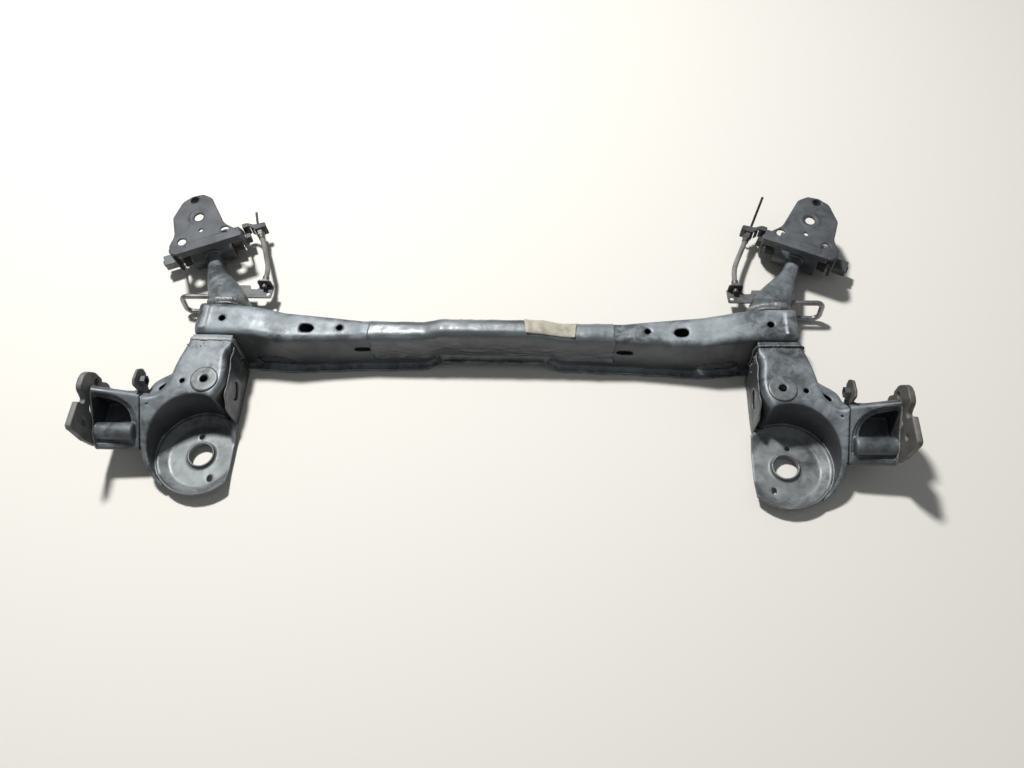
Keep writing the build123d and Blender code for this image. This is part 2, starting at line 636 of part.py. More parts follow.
# The carrier's section beside the arm and beside the hub plate, in Y and Z
CARRIER_ROOT = ((-150, 42), (-150, 102), (-158, 110), (-241, 62), (-241, 53), (-232, 50))
CARRIER_TIP = ((-150, 57), (-150, 126), (-160, 136), (-243, 67), (-243, 58), (-234, 55))
CARRIER_RADII = (0, 5, 7, 4, 3, 0)
# The mouths of the stepped arch in the plane of the sloping face: left, low, top at the left, top at the right, corner
MOUTHS = (
    (-35.0, -39.0, 41.0, 51.0, 58.0),
    (-29.0, -37.0, 34.0, 47.5, 50.0),
    (-22.5, -35.0, 26.5, 43.5, 42.0),
)


def hub_bracket():
    """The deep carrier pressing, with its stepped arch and the half-round bolt channel."""
    root = ARM_OUTER_X + SEAM
    length = HUB_X - root
    near_end = across(root) * outline(CARRIER_ROOT, CARRIER_RADII)
    far_end = across(HUB_X) * outline(CARRIER_TIP, CARRIER_RADII)
    block_shape = loft([near_end, far_end],
                       ruled=True)
    slope = math.atan2(CARRIER_TIP[2][1] - CARRIER_ROOT[3][1], CARRIER_TIP[2][0] - CARRIER_ROOT[3][0])
    normal = Vector(0, -math.sin(slope), math.cos(slope))
    face = Plane(origin=(root + length / 2, -200, 90), x_dir=(1, 0, 0), z_dir=normal)
    body = block_shape
    for step, (left, low, top_left, top_right, corner) in enumerate(MOUTHS, start=1):
        right = length / 2 - 3
        mouth = [(left, low), (right, low), (right, top_right), (left, top_left)]
        cutter = extrude(face.offset(-length) * outline(mouth, [8, 3, 4, corner]), amount=2 * length)
        if step < len(MOUTHS):
            body -= cutter - block_shape.moved(Location(normal * (-step * TERRACE_STEP)))
        else:
            keep = block(Plane.XY, (root, -150 - CARRIER_WALL, 0), (HUB_X, 0, 200))
            keep += block(Plane.XY, (root, -300, 0), (HUB_X, 0, 58 + CARRIER_WALL))
            body -= cutter - keep
    axis_y = HUB_MID_Y - HUB_PITCH_Y / 2
    channel_z = HUB_MID_Z - HUB_PITCH_Z / 2 - CHANNEL_DROP
    channel = Plane(origin=(root + 7, axis_y + 2, channel_z), x_dir=(0, 1, 0), z_dir=(1, 0, 0))
    bar = rod(channel, CHANNEL_R, 0, length - 7)
    bar = chamfer(bar.faces().sort_by(Axis.X)[0].edges(), 3)
    body += bar & block(Plane.XY, (root, -238, 58), (HUB_X, -150, 200))
    for dy in (1, -1):
        for dz in (1, -1):
            spot = (HUB_X, HUB_MID_Y + dy * HUB_PITCH_Y / 2, HUB_MID_Z + dz * HUB_PITCH_Z / 2)
            body -= rod(Plane(origin=spot, x_dir=(0, 1, 0), z_dir=(1, 0, 0)), HEAD_CLEARANCE_R, -30, 1)
    return largest(body)


HUB_OUTLINE = (
    (-124, 106), (-126, 130), (-136, 150), (-148, 158), (-172, 158), (-182, 134), (-191, 134), (-195, 153), (-240, 153),
    (-245, 146), (-245, 100), (-238, 60), (-232, 57), (-140, 57), (-124, 74), (-124, 92), (-132, 99),
)
HUB_RADII = (6, 10, 10, 8, 8, 6, 3, 3, 4, 4, 20, 6, 4, 12, 8, 5, 4)


def hub_plate():
    """The thick machined plate that carries the brake and the wheel bearing."""
    plate = prism(across(HUB_X), HUB_OUTLINE, HUB_RADII, HUB_T)
    centre = Plane(origin=(HUB_X, HUB_MID_Y, HUB_MID_Z), x_dir=(0, 1, 0), z_dir=(1, 0, 0))
    plate -= rod(centre, HUB_BORE_R, -1, HUB_T + 1)
    for dy in (1, -1):
        for dz in (1, -1):
            hole = Pos(dy * HUB_PITCH_Y / 2, dz * HUB_PITCH_Z / 2) * Circle(HUB_HOLE_R)
            plate -= extrude(centre.offset(-1) * hole, amount=HUB_T + 2)
    return plate


def damper_ear():
    """The upright ear that the damper bolts to, with a foot turned along the carrier."""
    start = ARM_OUTER_X + 2
    front = -150 + SEAM
    ear = [(front, 50), (-140, 56), (-127, 84), (-110, 102), (-109, 116), (-119, 131), (-140, 134), (front, 128)]
    plate = prism(across(start), ear, [0, 8, 14, 8, 8, 8, 4, 0], EAR_T)
    foot = [(start, front), (start + 30, front), (start + 30, front + 4),
            (start + EAR_T + 5, front + 4), (start + EAR_T, front + 12),
            (start, front + 12)]
    plate += prism(level(86), foot, [0, 0, 1.5, 5, 4, 0], 16)
    axis = Plane(origin=(start, EAR_HOLE_Y, EAR_HOLE_Z), x_dir=(0, 1, 0), z_dir=(1, 0, 0))
    return plate - rod(axis, EAR_HOLE_R, -1, EAR_T + 1)


def damper_weld_nut():
    """The nut welded to the inner face of the damper ear."""
    axis = Plane(origin=(ARM_OUTER_X + 2, EAR_HOLE_Y, EAR_HOLE_Z), x_dir=(0, 1, 0), z_dir=(1, 0, 0))
    return hexagon(axis, EAR_NUT_R, -EAR_NUT_H, 0) - rod(axis, EAR_HOLE_R, -EAR_NUT_H - 1, 1)


def cable_loop():
    """The bent rod beside the beam that guides the parking-brake cable."""
    points = [
        (BEAM_HALF - 28, LOOP_Y, LOOP_TOP_Z), (LOOP_REACH_X, LOOP_Y, LOOP_TOP_Z),
        (LOOP_REACH_X + 2, LOOP_Y - 5, LOOP_LOW_Z), (BEAM_HALF - 28, LOOP_Y - 5, LOOP_LOW_Z),
    ]
    return largest_outer(tube_path(points, LOOP_R, LOOP_BEND) - arm_tube(0))


def largest_outer(part):
    """The solid that stands outside the arm after its stubs are cut off."""
    return sorted(part.solids(), key=lambda s: s.bounding_box().max.X)[-1]


def hose_tab():
    """The bent strip on the inner cheek that holds the upper end of the brake hose."""
    inner = -CHEEK_OUT
    wall = [
        (inner, TAB_JOG + TAB_T), (inner - 13, TAB_JOG + TAB_T), (inner - 23, TAB_WALL_W),
        (-TAB_END, TAB_WALL_W), (-TAB_END, TAB_WALL_W - TAB_T), (inner - 24, TAB_WALL_W - TAB_T),
        (inner - 14, TAB_JOG), (inner, TAB_JOG),
    ]
    low = TAB_MID_Z - TAB_HALF_H
    tab = prism(BRACKET.offset(low), wall, 0, 2 * TAB_HALF_H)
    ledge = [
        (inner, TAB_JOG), (inner - 14, TAB_JOG), (inner - 24, TAB_WALL_W - TAB_T),
        (-TAB_END, TAB_WALL_W - TAB_T), (-TAB_END, TAB_WALL_W + 9), (inner - 24, TAB_WALL_W + 11),
        (inner - 12, TAB_JOG + 11), (inner, TAB_JOG + 11),
    ]
    tab += prism(BRACKET.offset(low + 2 * TAB_HALF_H - TAB_T), ledge, [0, 0, 0, 0, 4, 6, 6, 0], TAB_T)
    return tab - rod(hose_axis(), UNION_R - 1, -TAB_WALL_W - 1, TAB_T)


def hose_axis():
    """The line of the upper fitting, pointing back along the hose."""
    origin = PIVOT + OUTWARD * FITTING_U + Vector(0, 0, HOSE_TOP_Z - EYE_R)
    return Plane(origin=origin, x_dir=OUTWARD, z_dir=-FORWARD)


def upper_hose_fitting():
    """The hexagon and the crimped ferrule at the upper end of the hose."""
    axis = hose_axis()
    wall = TAB_T - TAB_WALL_W
    fitting = hexagon(axis, FITTING_R, wall, wall + FITTING_L)
    return fitting + rod(axis, FERRULE_R, wall + FITTING_L, wall + FITTING_L + FERRULE_L)


def pipe_union():
    """The union nut that joins the steel pipe to the hose on the far side of the tab."""
    nut = hexagon(hose_axis(), UNION_R, -TAB_WALL_W - UNION_L, -TAB_WALL_W)
    return nut - rod(hose_axis(), PIPE_R + PRESS_GAP, -TAB_WALL_W - UNION_L - 1, -TAB_WALL_W - 3)


def brake_pipe(points, bends):
    """A cut stub of the steel brake pipe."""
    return tube_path(points, PIPE_R, bends)


def pipe_point(forward, rise, outward=0.0):
    """A place on the pipe, by its reach forward of the pivot's axis and its rise over the fitting."""
    spot = PIVOT + OUTWARD * (FITTING_U + outward) + FORWARD * forward
    return (spot.X, spot.Y, HOSE_TOP_Z + rise)


PIPE_STARTS = TAB_WALL_W + 3.5
PIPES = {
    "left": ([pipe_point(PIPE_STARTS, 0), pipe_point(30, 0), pipe_point(50, 6, -4)], [24]),
    "right": ([pipe_point(PIPE_STARTS, 0), pipe_point(28, 0), pipe_point(46, 66, 2)], [14]),
}

HOSE_START = PIVOT + OUTWARD * FITTING_U - FORWARD * (FITTING_L + FERRULE_L + TAB_T - TAB_WALL_W)
HOSE_LEAD = HOSE_START - FORWARD * 27
HOSE_MIDDLES = {"left": (469.5, 189, 40), "right": (467.0, 189, 40)}


def hose_route(side):
    """The hose's route from the upper ferrule to the lower one."""
    return [
        (HOSE_START.X, HOSE_START.Y, HOSE_TOP_Z), (HOSE_LEAD.X, HOSE_LEAD.Y, HOSE_TOP_Z), HOSE_MIDDLES[side],
        (HOSE_LOW_X, HOSE_LOW_Y + 22, HOSE_LOW_Z), (HOSE_LOW_X, HOSE_LOW_Y, HOSE_LOW_Z),
    ]


def brake_hose(side):
    """The flexible hose between the body bracket and the arm."""
    route = hose_route(side)
    radii = easy_radii(route)
    print("hose", side, "bend radii", [round(r, 1) for r in radii])
    return tube_path(route, HOSE_R, radii)


def low_axis():
    """The line of the lower fitting, pointing towards the beam."""
    return Plane(origin=(HOSE_LOW_X, HOSE_LOW_Y, HOSE_LOW_Z), x_dir=(1, 0, 0), z_dir=(0, -1, 0))


def lower_hose_fitting():
    """The ferrule, hexagon and threaded end at the lower end of the hose."""
    axis = low_axis()
    hexed = FERRULE_L + FITTING_L / 2
    fitting = rod(axis, FERRULE_R, 0, FERRULE_L) + hexagon(axis, FITTING_R, FERRULE_L, hexed)
    return fitting + rod(axis, UNION_R - 1.2, hexed, hexed + TAB_T + 9)


def lower_hose_bracket():
    """The notched plate on the front arm, with an upturned ear for the hose fitting."""
    plan = [
        (530, 98), (446, 98), (444, LOW_EAR_Y + TAB_T), (473, LOW_EAR_Y + TAB_T), (474, 118), (490, 118),
        (492, LOW_EAR_Y + TAB_T), (530, LOW_EAR_Y + TAB_T),
    ]
    plate = prism(level(LOW_PLATE_Z), plan, [0, 4, 1, 1, 5, 5, 1, 0], TAB_T)
    ear = [(446, LOW_PLATE_Z), (473, LOW_PLATE_Z), (473, 54), (468, 58), (451, 58), (446, 54)]
    ear_plane = Plane(origin=(0, LOW_EAR_Y + TAB_T, 0), x_dir=(1, 0, 0), z_dir=(0, -1, 0))
    plate += prism(ear_plane, ear, [0, 0, 5, 5, 5, 5], TAB_T)
    plate -= extrude(level(LOW_PLATE_Z - 1) * Pos(453, 107) * Circle(4), amount=TAB_T + 2)
    plate -= rod(low_axis(), UNION_R - 1, 0, FITTING_L + FERRULE_L + TAB_T)
    return sorted((plate - arm_tube(0)).solids(), key=lambda s: s.bounding_box().min.X)[0]


def write(name, part):
    """Write one node."""
    part.label = name
    export_step(part, os.path.join("parts", name + ".step"))


PAIRED = {
    "body_bracket": body_bracket,
    "bracket_fork": bracket_fork,
    "pivot_bolt": pivot_bolt,
    "pivot_nut": pivot_nut,
    "bush_inner_sleeve": bush_inner_sleeve,
    "bush_rubber": bush_rubber,
    "bush_shell": bush_shell,
    "bush_eye": bush_eye,
    "front_arm": front_arm,
    "rear_arm_upper": rear_arm_upper,
    "rear_arm_lower": rear_arm_lower,
    "spring_seat": spring_seat,
    "bump_pad": bump_pad,
    "hub_bracket": hub_bracket,
    "hub_plate": hub_plate,
    "damper_ear": damper_ear,
    "damper_weld_nut": damper_weld_nut,
    "cable_loop": cable_loop,
    "beam_end_cap": beam_end_cap,
    "hose_tab": hose_tab,
    "upper_hose_fitting": upper_hose_fitting,
    "pipe_union": pipe_union,
    "lower_hose_fitting": lower_hose_fitting,
    "lower_hose_bracket": lower_hose_bracket,
}


def place(name, side, part):
    """Write a right-hand piece, or its mirror image."""
    write(name + "_" + side, part if side == "right" else mirror(part, about=Plane.YZ))


os.makedirs("parts", exist_ok=True)
write("cross_beam", cross_beam())
for name, build in PAIRED.items():
    piece = build()
    for side in SIDES:
        place(name, side, piece)
for side in SIDES:
    place("brake_hose", side, brake_hose(side))
    place("brake_pipe", side, brake_pipe(*PIPES[side]))
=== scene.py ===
"""Looks for the twist-beam rear axle: worn black paint, weld seams, hoses, film wrap and label.

All lengths in the classes are millimetres in the part's own frame, and become metres in the meshes.
"""

import json
import logging
import math
from dataclasses import dataclass, field
from enum import Enum
from random import Random
from typing import Callable, Iterable, Optional, Sequence

import bmesh
import bpy
from mathutils import Matrix, Vector, noise
from mathutils.bvhtree import BVHTree

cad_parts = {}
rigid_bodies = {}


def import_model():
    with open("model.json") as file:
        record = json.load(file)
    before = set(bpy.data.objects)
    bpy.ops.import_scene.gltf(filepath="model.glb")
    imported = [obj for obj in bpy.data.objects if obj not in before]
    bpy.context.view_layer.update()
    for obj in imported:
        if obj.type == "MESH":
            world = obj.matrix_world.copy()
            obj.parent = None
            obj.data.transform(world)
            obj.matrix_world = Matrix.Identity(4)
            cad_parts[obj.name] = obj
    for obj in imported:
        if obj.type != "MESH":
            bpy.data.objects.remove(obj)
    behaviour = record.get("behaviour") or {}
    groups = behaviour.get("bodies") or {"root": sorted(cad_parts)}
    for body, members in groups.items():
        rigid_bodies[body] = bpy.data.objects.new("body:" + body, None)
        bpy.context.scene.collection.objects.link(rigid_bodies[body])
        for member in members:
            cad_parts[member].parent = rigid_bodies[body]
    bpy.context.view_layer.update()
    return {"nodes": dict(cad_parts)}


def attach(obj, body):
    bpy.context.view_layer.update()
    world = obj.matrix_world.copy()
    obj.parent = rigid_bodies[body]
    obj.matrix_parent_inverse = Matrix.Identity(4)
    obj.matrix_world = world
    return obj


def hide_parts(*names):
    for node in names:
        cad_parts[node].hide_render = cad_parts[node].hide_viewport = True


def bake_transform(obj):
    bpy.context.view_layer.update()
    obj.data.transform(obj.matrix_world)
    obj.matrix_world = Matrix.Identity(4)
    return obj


LOG = logging.getLogger("rear_axle")
MM = 0.001

Colour = tuple[float, float, float]
Point = tuple[float, float, float]
Socket = bpy.types.NodeSocket


class Side(Enum):
    """One side of the car, with the sign of its X."""

    LEFT = -1
    RIGHT = 1

    @property
    def tag(self) -> str:
        """The side's word in the names of its pieces."""
        return self.name.lower()

    @property
    def bracket(self) -> str:
        """The body that turns on this side's bush."""
        return "bracket_" + self.tag

    def place(self, point: Sequence[float]) -> Vector:
        """A right-hand point in millimetres, on this side, in metres."""
        return Vector((self.value * point[0], point[1], point[2])) * MM


# Finishes


class Graph:
    """Builds the nodes of one material."""

    def __init__(self, name: str) -> None:
        """Start an empty material.

        Args:
            name: the material's name.
        """
        self.material = bpy.data.materials.new(name)
        self.material.use_nodes = True
        self.tree = self.material.node_tree
        self.tree.nodes.clear()
        self.output = self.node("ShaderNodeOutputMaterial")
        self.shader = self.node("ShaderNodeBsdfPrincipled")
        self.link(self.shader.outputs["BSDF"], self.output.inputs["Surface"])
        coordinates = self.node("ShaderNodeTexCoord")
        self.here: Socket = coordinates.outputs["Object"]

    def node(self, kind: str, **settings: object) -> bpy.types.Node:
        """Add a node and set its properties.

        Args:
            kind: Blender's name for the node type.
            settings: properties to set on it.

        Returns:
            The new node.
        """
        made = self.tree.nodes.new(kind)
        for key, value in settings.items():
            setattr(made, key, value)
        return made

    def link(self, source: Socket, target: Socket) -> None:
        """Join two sockets."""
        self.tree.links.new(source, target)

    def feed(self, target: Socket, value: object) -> None:
        """Link a socket, or set it where the value is plain.

        Args:
            target: the input to fill.
            value: a socket, a number or a colour.
        """
        if isinstance(value, bpy.types.NodeSocket):
            self.link(value, target)
        elif isinstance(value, tuple) and len(value) == 3 and target.type == "RGBA":
            target.default_value = (*value, 1.0)
        else:
            target.default_value = value

    def stretched(self, scale: Point) -> Socket:
        """Object coordinates scaled differently on each axis.

        Args:
            scale: the factor on each axis.

        Returns:
            The scaled coordinates.
        """
        mapping = self.node("ShaderNodeMapping")
        self.link(self.here, mapping.inputs["Vector"])
        mapping.inputs["Scale"].default_value = scale
        return mapping.outputs["Vector"]

    def noise(self, scale: float, detail: float = 4.0, rough: float = 0.55,
              vector: Optional[Socket] = None, twist: float = 0.0) -> Socket:
        """A noise value.

        Args:
            scale: cells per metre.
            detail: octaves.
            rough: weight of the finer octaves.
            vector: coordinates, the object's own if left out.
            twist: distortion.

        Returns:
            The noise's value socket.
        """
        made = self.node("ShaderNodeTexNoise")
        self.link(vector or self.here, made.inputs["Vector"])
        made.inputs["Scale"].default_value = scale
        made.inputs["Detail"].default_value = detail
        made.inputs["Roughness"].default_value = rough
        made.inputs["Distortion"].default_value = twist
        return made.outputs["Fac"]

    def band(self, value: Socket, low: float, high: float, to_low: float = 0.0,
             to_high: float = 1.0) -> Socket:
        """A smooth step between two values.

        Args:
            value: what is stepped.
            low: where the step starts.
            high: where it ends.
            to_low: the result below it.
            to_high: the result above it.

        Returns:
            The stepped value.
        """
        made = self.node("ShaderNodeMapRange", interpolation_type="SMOOTHSTEP")
        self.link(value, made.inputs["Value"])
        for key, number in (("From Min", low), ("From Max", high), ("To Min", to_low), ("To Max", to_high)):
            made.inputs[key].default_value = number
        return made.outputs["Result"]

    def sum(self, kind: str, first: object, second: object) -> Socket:
        """An arithmetic node, held between 0 and 1.

        Args:
            kind: the operation.
            first: the first socket or number.
            second: the second socket or number.

        Returns:
            The result socket.
        """
        made = self.node("ShaderNodeMath", operation=kind, use_clamp=True)
        self.feed(made.inputs[0], first)
        self.feed(made.inputs[1], second)
        return made.outputs[0]

    def blend(self, share: Socket, first: object, second: object) -> Socket:
        """A mix of two colours.

        Args:
            share: how much of the second colour shows.
            first: the colour at 0.
            second: the colour at 1.

        Returns:
            The mixed colour.
        """
        made = self.node("ShaderNodeMix", data_type="RGBA", clamp_factor=True)
        self.link(share, made.inputs[0])
        self.feed(made.inputs[6], first)
        self.feed(made.inputs[7], second)
        return made.outputs[2]

    def facing_up(self, low: float = 0.2, high: float = 0.95) -> Socket:
        """How far the surface looks up, where dust settles and where painted sheen and highlight lighten the
        tops.

        Args:
            low: the upward share of its direction that is still dry.
            high: the share that counts in full.

        Returns:
            A value from 0 to 1.
        """
        geometry = self.node("ShaderNodeNewGeometry")
        split = self.node("ShaderNodeSeparateXYZ")
        self.link(geometry.outputs["Normal"], split.inputs[0])
        return self.band(split.outputs["Z"], low, high)

    def rim(self, radius: float, low: float = 0.02, high: float = 0.16) -> Socket:
        """Where the surface turns a sharp corner, so that paint wears off.

        Args:
            radius: how far from the corner it reaches, in metres.
            low: the turn that is still flat.
            high: the turn that counts in full.

        Returns:
            A value from 0 on a flat to 1 on a corner.
        """
        bevel = self.node("ShaderNodeBevel", samples=4)
        bevel.inputs["Radius"].default_value = radius
        geometry = self.node("ShaderNodeNewGeometry")
        dot = self.node("ShaderNodeVectorMath", operation="DOT_PRODUCT")
        self.link(bevel.outputs[0], dot.inputs[0])
        self.link(geometry.outputs["Normal"], dot.inputs[1])
        return self.band(self.sum("SUBTRACT", 1.0, dot.outputs["Value"]), low, high)

    def rounded(self, radius: float) -> Socket:
        """A normal that rounds sharp corners a little.

        Args:
            radius: the radius in metres.

        Returns:
            The rounded normal.
        """
        bevel = self.node("ShaderNodeBevel", samples=4)
        bevel.inputs["Radius"].default_value = radius
        return bevel.outputs[0]

    def bump(self, height: Socket, strength: float, distance: float,
             normal: Optional[Socket] = None) -> Socket:
        """A bump from a height.

        Args:
            height: the height value.
            strength: how strong it is.
            distance: its depth in metres.
            normal: the normal it starts from.

        Returns:
            The bumped normal.
        """
        made = self.node("ShaderNodeBump")
        made.inputs["Strength"].default_value = strength
        made.inputs["Distance"].default_value = distance
        self.link(height, made.inputs["Height"])
        if normal:
            self.link(normal, made.inputs["Normal"])
        return made.outputs["Normal"]

    def dress(self, **inputs: object) -> bpy.types.Material:
        """Fill the shader's inputs.

        Args:
            inputs: values by input name, with _ for a space.

        Returns:
            The finished material.
        """
        for key, value in inputs.items():
            self.feed(self.shader.inputs[key.replace("_", " ")], value)
        return self.material


@dataclass(frozen=True)
class WornPaint:
    """Black chassis paint with dust and painted sheen on its up-facing tops, chipped corners and rust in the
    chips.
    """

    name: str
    paint: Colour
    faded: Colour
    # dust: the colour that up-facing tops go towards, for dust and also for painted sheen, as if they
    # reflected a bright sky
    dust: Colour
    bare: Colour
    rust: Colour = (0.16, 0.085, 0.045)
    soil: Colour = (0.115, 0.098, 0.082)
    mud: float = 0.5
    # dustiness: how far the tops go towards it, dust and painted sheen together
    dustiness: float = 0.35
    chips: float = 0.5
    gloss: float = 0.34
    sheen_metal: float = 0.35
    corner: float = 0.0018

    def build(self) -> bpy.types.Material:
        """Make the material.

        Returns:
            The finished material.
        """
        g = Graph(self.name)
        cloud = g.noise(11.0, 6.0, 0.62, twist=0.8)
        blotch = g.noise(34.0, 7.0, 0.66, twist=1.1)
        fine = g.noise(120.0, 6.0, 0.7)
        grit = g.noise(420.0, 3.0, 0.6)
        colour = g.blend(g.band(cloud, 0.36, 0.68), self.paint, self.faded)
        # Up-facing tops are lightened in patches towards the dust colour: real dust, and painted sheen where
        # the tops would reflect the bright sky
        up = g.facing_up(0.15, 0.9)
        wide = g.sum("MULTIPLY", g.band(cloud, 0.30, 0.66), 0.55)
        patchy = g.sum("ADD", wide, g.band(blotch, 0.38, 0.70, 0.0, 0.45))
        dust_and_sheen = g.sum("MULTIPLY", g.sum("MULTIPLY", up, patchy), self.dustiness)
        colour = g.blend(dust_and_sheen, colour, self.dust)
        mud = g.sum("MULTIPLY", g.sum("SUBTRACT", 1.0, up), g.band(blotch, 0.42, 0.70, 0.0, self.mud))
        colour = g.blend(mud, colour, self.soil)
        rim = g.rim(self.corner)
        chipped = g.sum("MULTIPLY", rim, g.band(fine, 0.50 - 0.12 * self.chips, 0.62))
        spots = g.sum("MULTIPLY", g.band(g.noise(46.0, 8.0, 0.72), 0.66, 0.73), g.band(cloud, 0.45, 0.6))
        bare = g.sum("MULTIPLY", g.sum("MAXIMUM", chipped, spots), self.chips)
        metal = g.blend(g.band(fine, 0.42, 0.58), self.rust, self.bare)
        colour = g.blend(bare, colour, metal)
        paint = g.band(g.noise(22.0, 6.0, 0.65), 0.3, 0.75, self.gloss - 0.07, self.gloss + 0.16)
        rough = g.sum("ADD", paint, g.sum("MULTIPLY", g.sum("MAXIMUM", dust_and_sheen, mud), 0.4))
        height = g.sum("ADD", g.sum("MULTIPLY", g.noise(60.0, 4.0, 0.5), 0.7), g.sum("MULTIPLY", grit, 0.25))
        normal = g.bump(height, 0.30, 0.0006, g.rounded(self.corner))
        return g.dress(Base_Color=colour, Roughness=rough, Metallic=self.sheen_metal, Normal=normal,
                       Specular_IOR_Level=0.6)


@dataclass(frozen=True)
class BareSteel:
    """Uncoated or zinc-coated steel gone dull, with tarnish and rust in patches."""

    name: str
    steel: Colour
    tarnish: Colour
    rust: Colour
    rusted: float = 0.4
    rough: float = 0.42
    grain: Point = (60.0, 60.0, 60.0)

    def build(self) -> bpy.types.Material:
        """Make the material.

        Returns:
            The finished material.
        """
        g = Graph(self.name)
        cloud = g.noise(30.0, 6.0, 0.65, twist=0.6)
        fine = g.noise(260.0, 5.0, 0.7)
        scratch = g.noise(6.0, 3.0, 0.6, vector=g.stretched(self.grain))
        colour = g.blend(g.band(cloud, 0.35, 0.68), self.steel, self.tarnish)
        spots = g.band(g.noise(55.0, 8.0, 0.7), 0.62 - 0.2 * self.rusted, 0.72)
        patch = g.sum("MULTIPLY", spots, self.rusted)
        colour = g.blend(patch, colour, self.rust)
        colour = g.blend(g.band(fine, 0.55, 0.8, 0.0, 0.45), colour, self.tarnish)
        worn = g.band(scratch, 0.3, 0.7, self.rough - 0.08, self.rough + 0.12)
        rough = g.sum("ADD", worn, g.sum("MULTIPLY", patch, 0.3))
        height = g.sum("ADD", g.sum("MULTIPLY", fine, 0.5), g.sum("MULTIPLY", scratch, 0.4))
        normal = g.bump(height, 0.3, 0.0004, g.rounded(0.0008))
        return g.dress(Base_Color=colour, Roughness=rough, Metallic=0.75, Normal=normal)


@dataclass(frozen=True)
class AgedRubber:
    """Dusty rubber with a faint moulded grain."""

    name: str
    rubber: Colour
    dust: Colour
    dustiness: float = 0.6

    def build(self) -> bpy.types.Material:
        """Make the material.

        Returns:
            The finished material.
        """
        g = Graph(self.name)
        cloud = g.noise(40.0, 6.0, 0.65)
        fine = g.noise(600.0, 4.0, 0.6)
        share = g.sum("MULTIPLY", g.band(cloud, 0.25, 0.7), self.dustiness)
        colour = g.blend(share, self.rubber, self.dust)
        colour = g.blend(g.band(fine, 0.58, 0.75, 0.0, 0.4), colour, self.rubber)
        normal = g.bump(fine, 0.35, 0.0004, g.rounded(0.0006))
        return g.dress(Base_Color=colour, Roughness=g.band(cloud, 0.3, 0.7, 0.58, 0.8), Normal=normal)


@dataclass(frozen=True)
class WrapFilm:
    """The glossy film that is shrunk round the middle of the beam."""

    name: str
    tone: Colour
    pale: Colour
    # The pale blue-grey below is a milky dulling of the film and also painted highlight on its up-facing
    # folds
    haze: Colour = (0.30, 0.335, 0.36)

    def build(self) -> bpy.types.Material:
        """Make the material.

        Returns:
            The finished material.
        """
        g = Graph(self.name)
        crease = g.noise(1.0, 5.0, 0.55, vector=g.stretched((22.0, 48.0, 48.0)), twist=1.6)
        fold = g.noise(1.0, 3.0, 0.5, vector=g.stretched((7.0, 22.0, 22.0)), twist=1.0)
        up = g.facing_up(0.1, 0.9)
        colour = g.blend(g.band(fold, 0.35, 0.68), self.tone, self.pale)
        # Up-facing folds are lightened in blotches: a milky dulling of the film, and painted highlight where
        # the bright sky would shine off it
        haze = g.sum("MULTIPLY", up, g.band(fold, 0.40, 0.62, 0.75, 0.05))
        colour = g.blend(haze, colour, self.haze)
        height = g.sum("ADD", g.sum("MULTIPLY", crease, 0.6), g.sum("MULTIPLY", fold, 0.4))
        normal = g.bump(height, 0.5, 0.0016)
        rough = g.band(crease, 0.3, 0.7, 0.36, 0.52)
        return g.dress(Base_Color=colour, Roughness=rough, Metallic=0.30, Normal=normal, Coat_Weight=0.25,
                       Coat_Roughness=0.22)


@dataclass(frozen=True)
class PaperLabel:
    """A blank paper label, yellowed and stained."""

    name: str
    paper: Colour
    stain: Colour

    def build(self) -> bpy.types.Material:
        """Make the material.

        Returns:
            The finished material.
        """
        g = Graph(self.name)
        cloud = g.noise(60.0, 6.0, 0.65)
        fibre = g.noise(900.0, 3.0, 0.6)
        colour = g.blend(g.band(cloud, 0.4, 0.75, 0.0, 0.8), self.paper, self.stain)
        normal = g.bump(fibre, 0.2, 0.0002)
        return g.dress(Base_Color=colour, Roughness=g.band(cloud, 0.3, 0.7, 0.5, 0.75), Normal=normal)


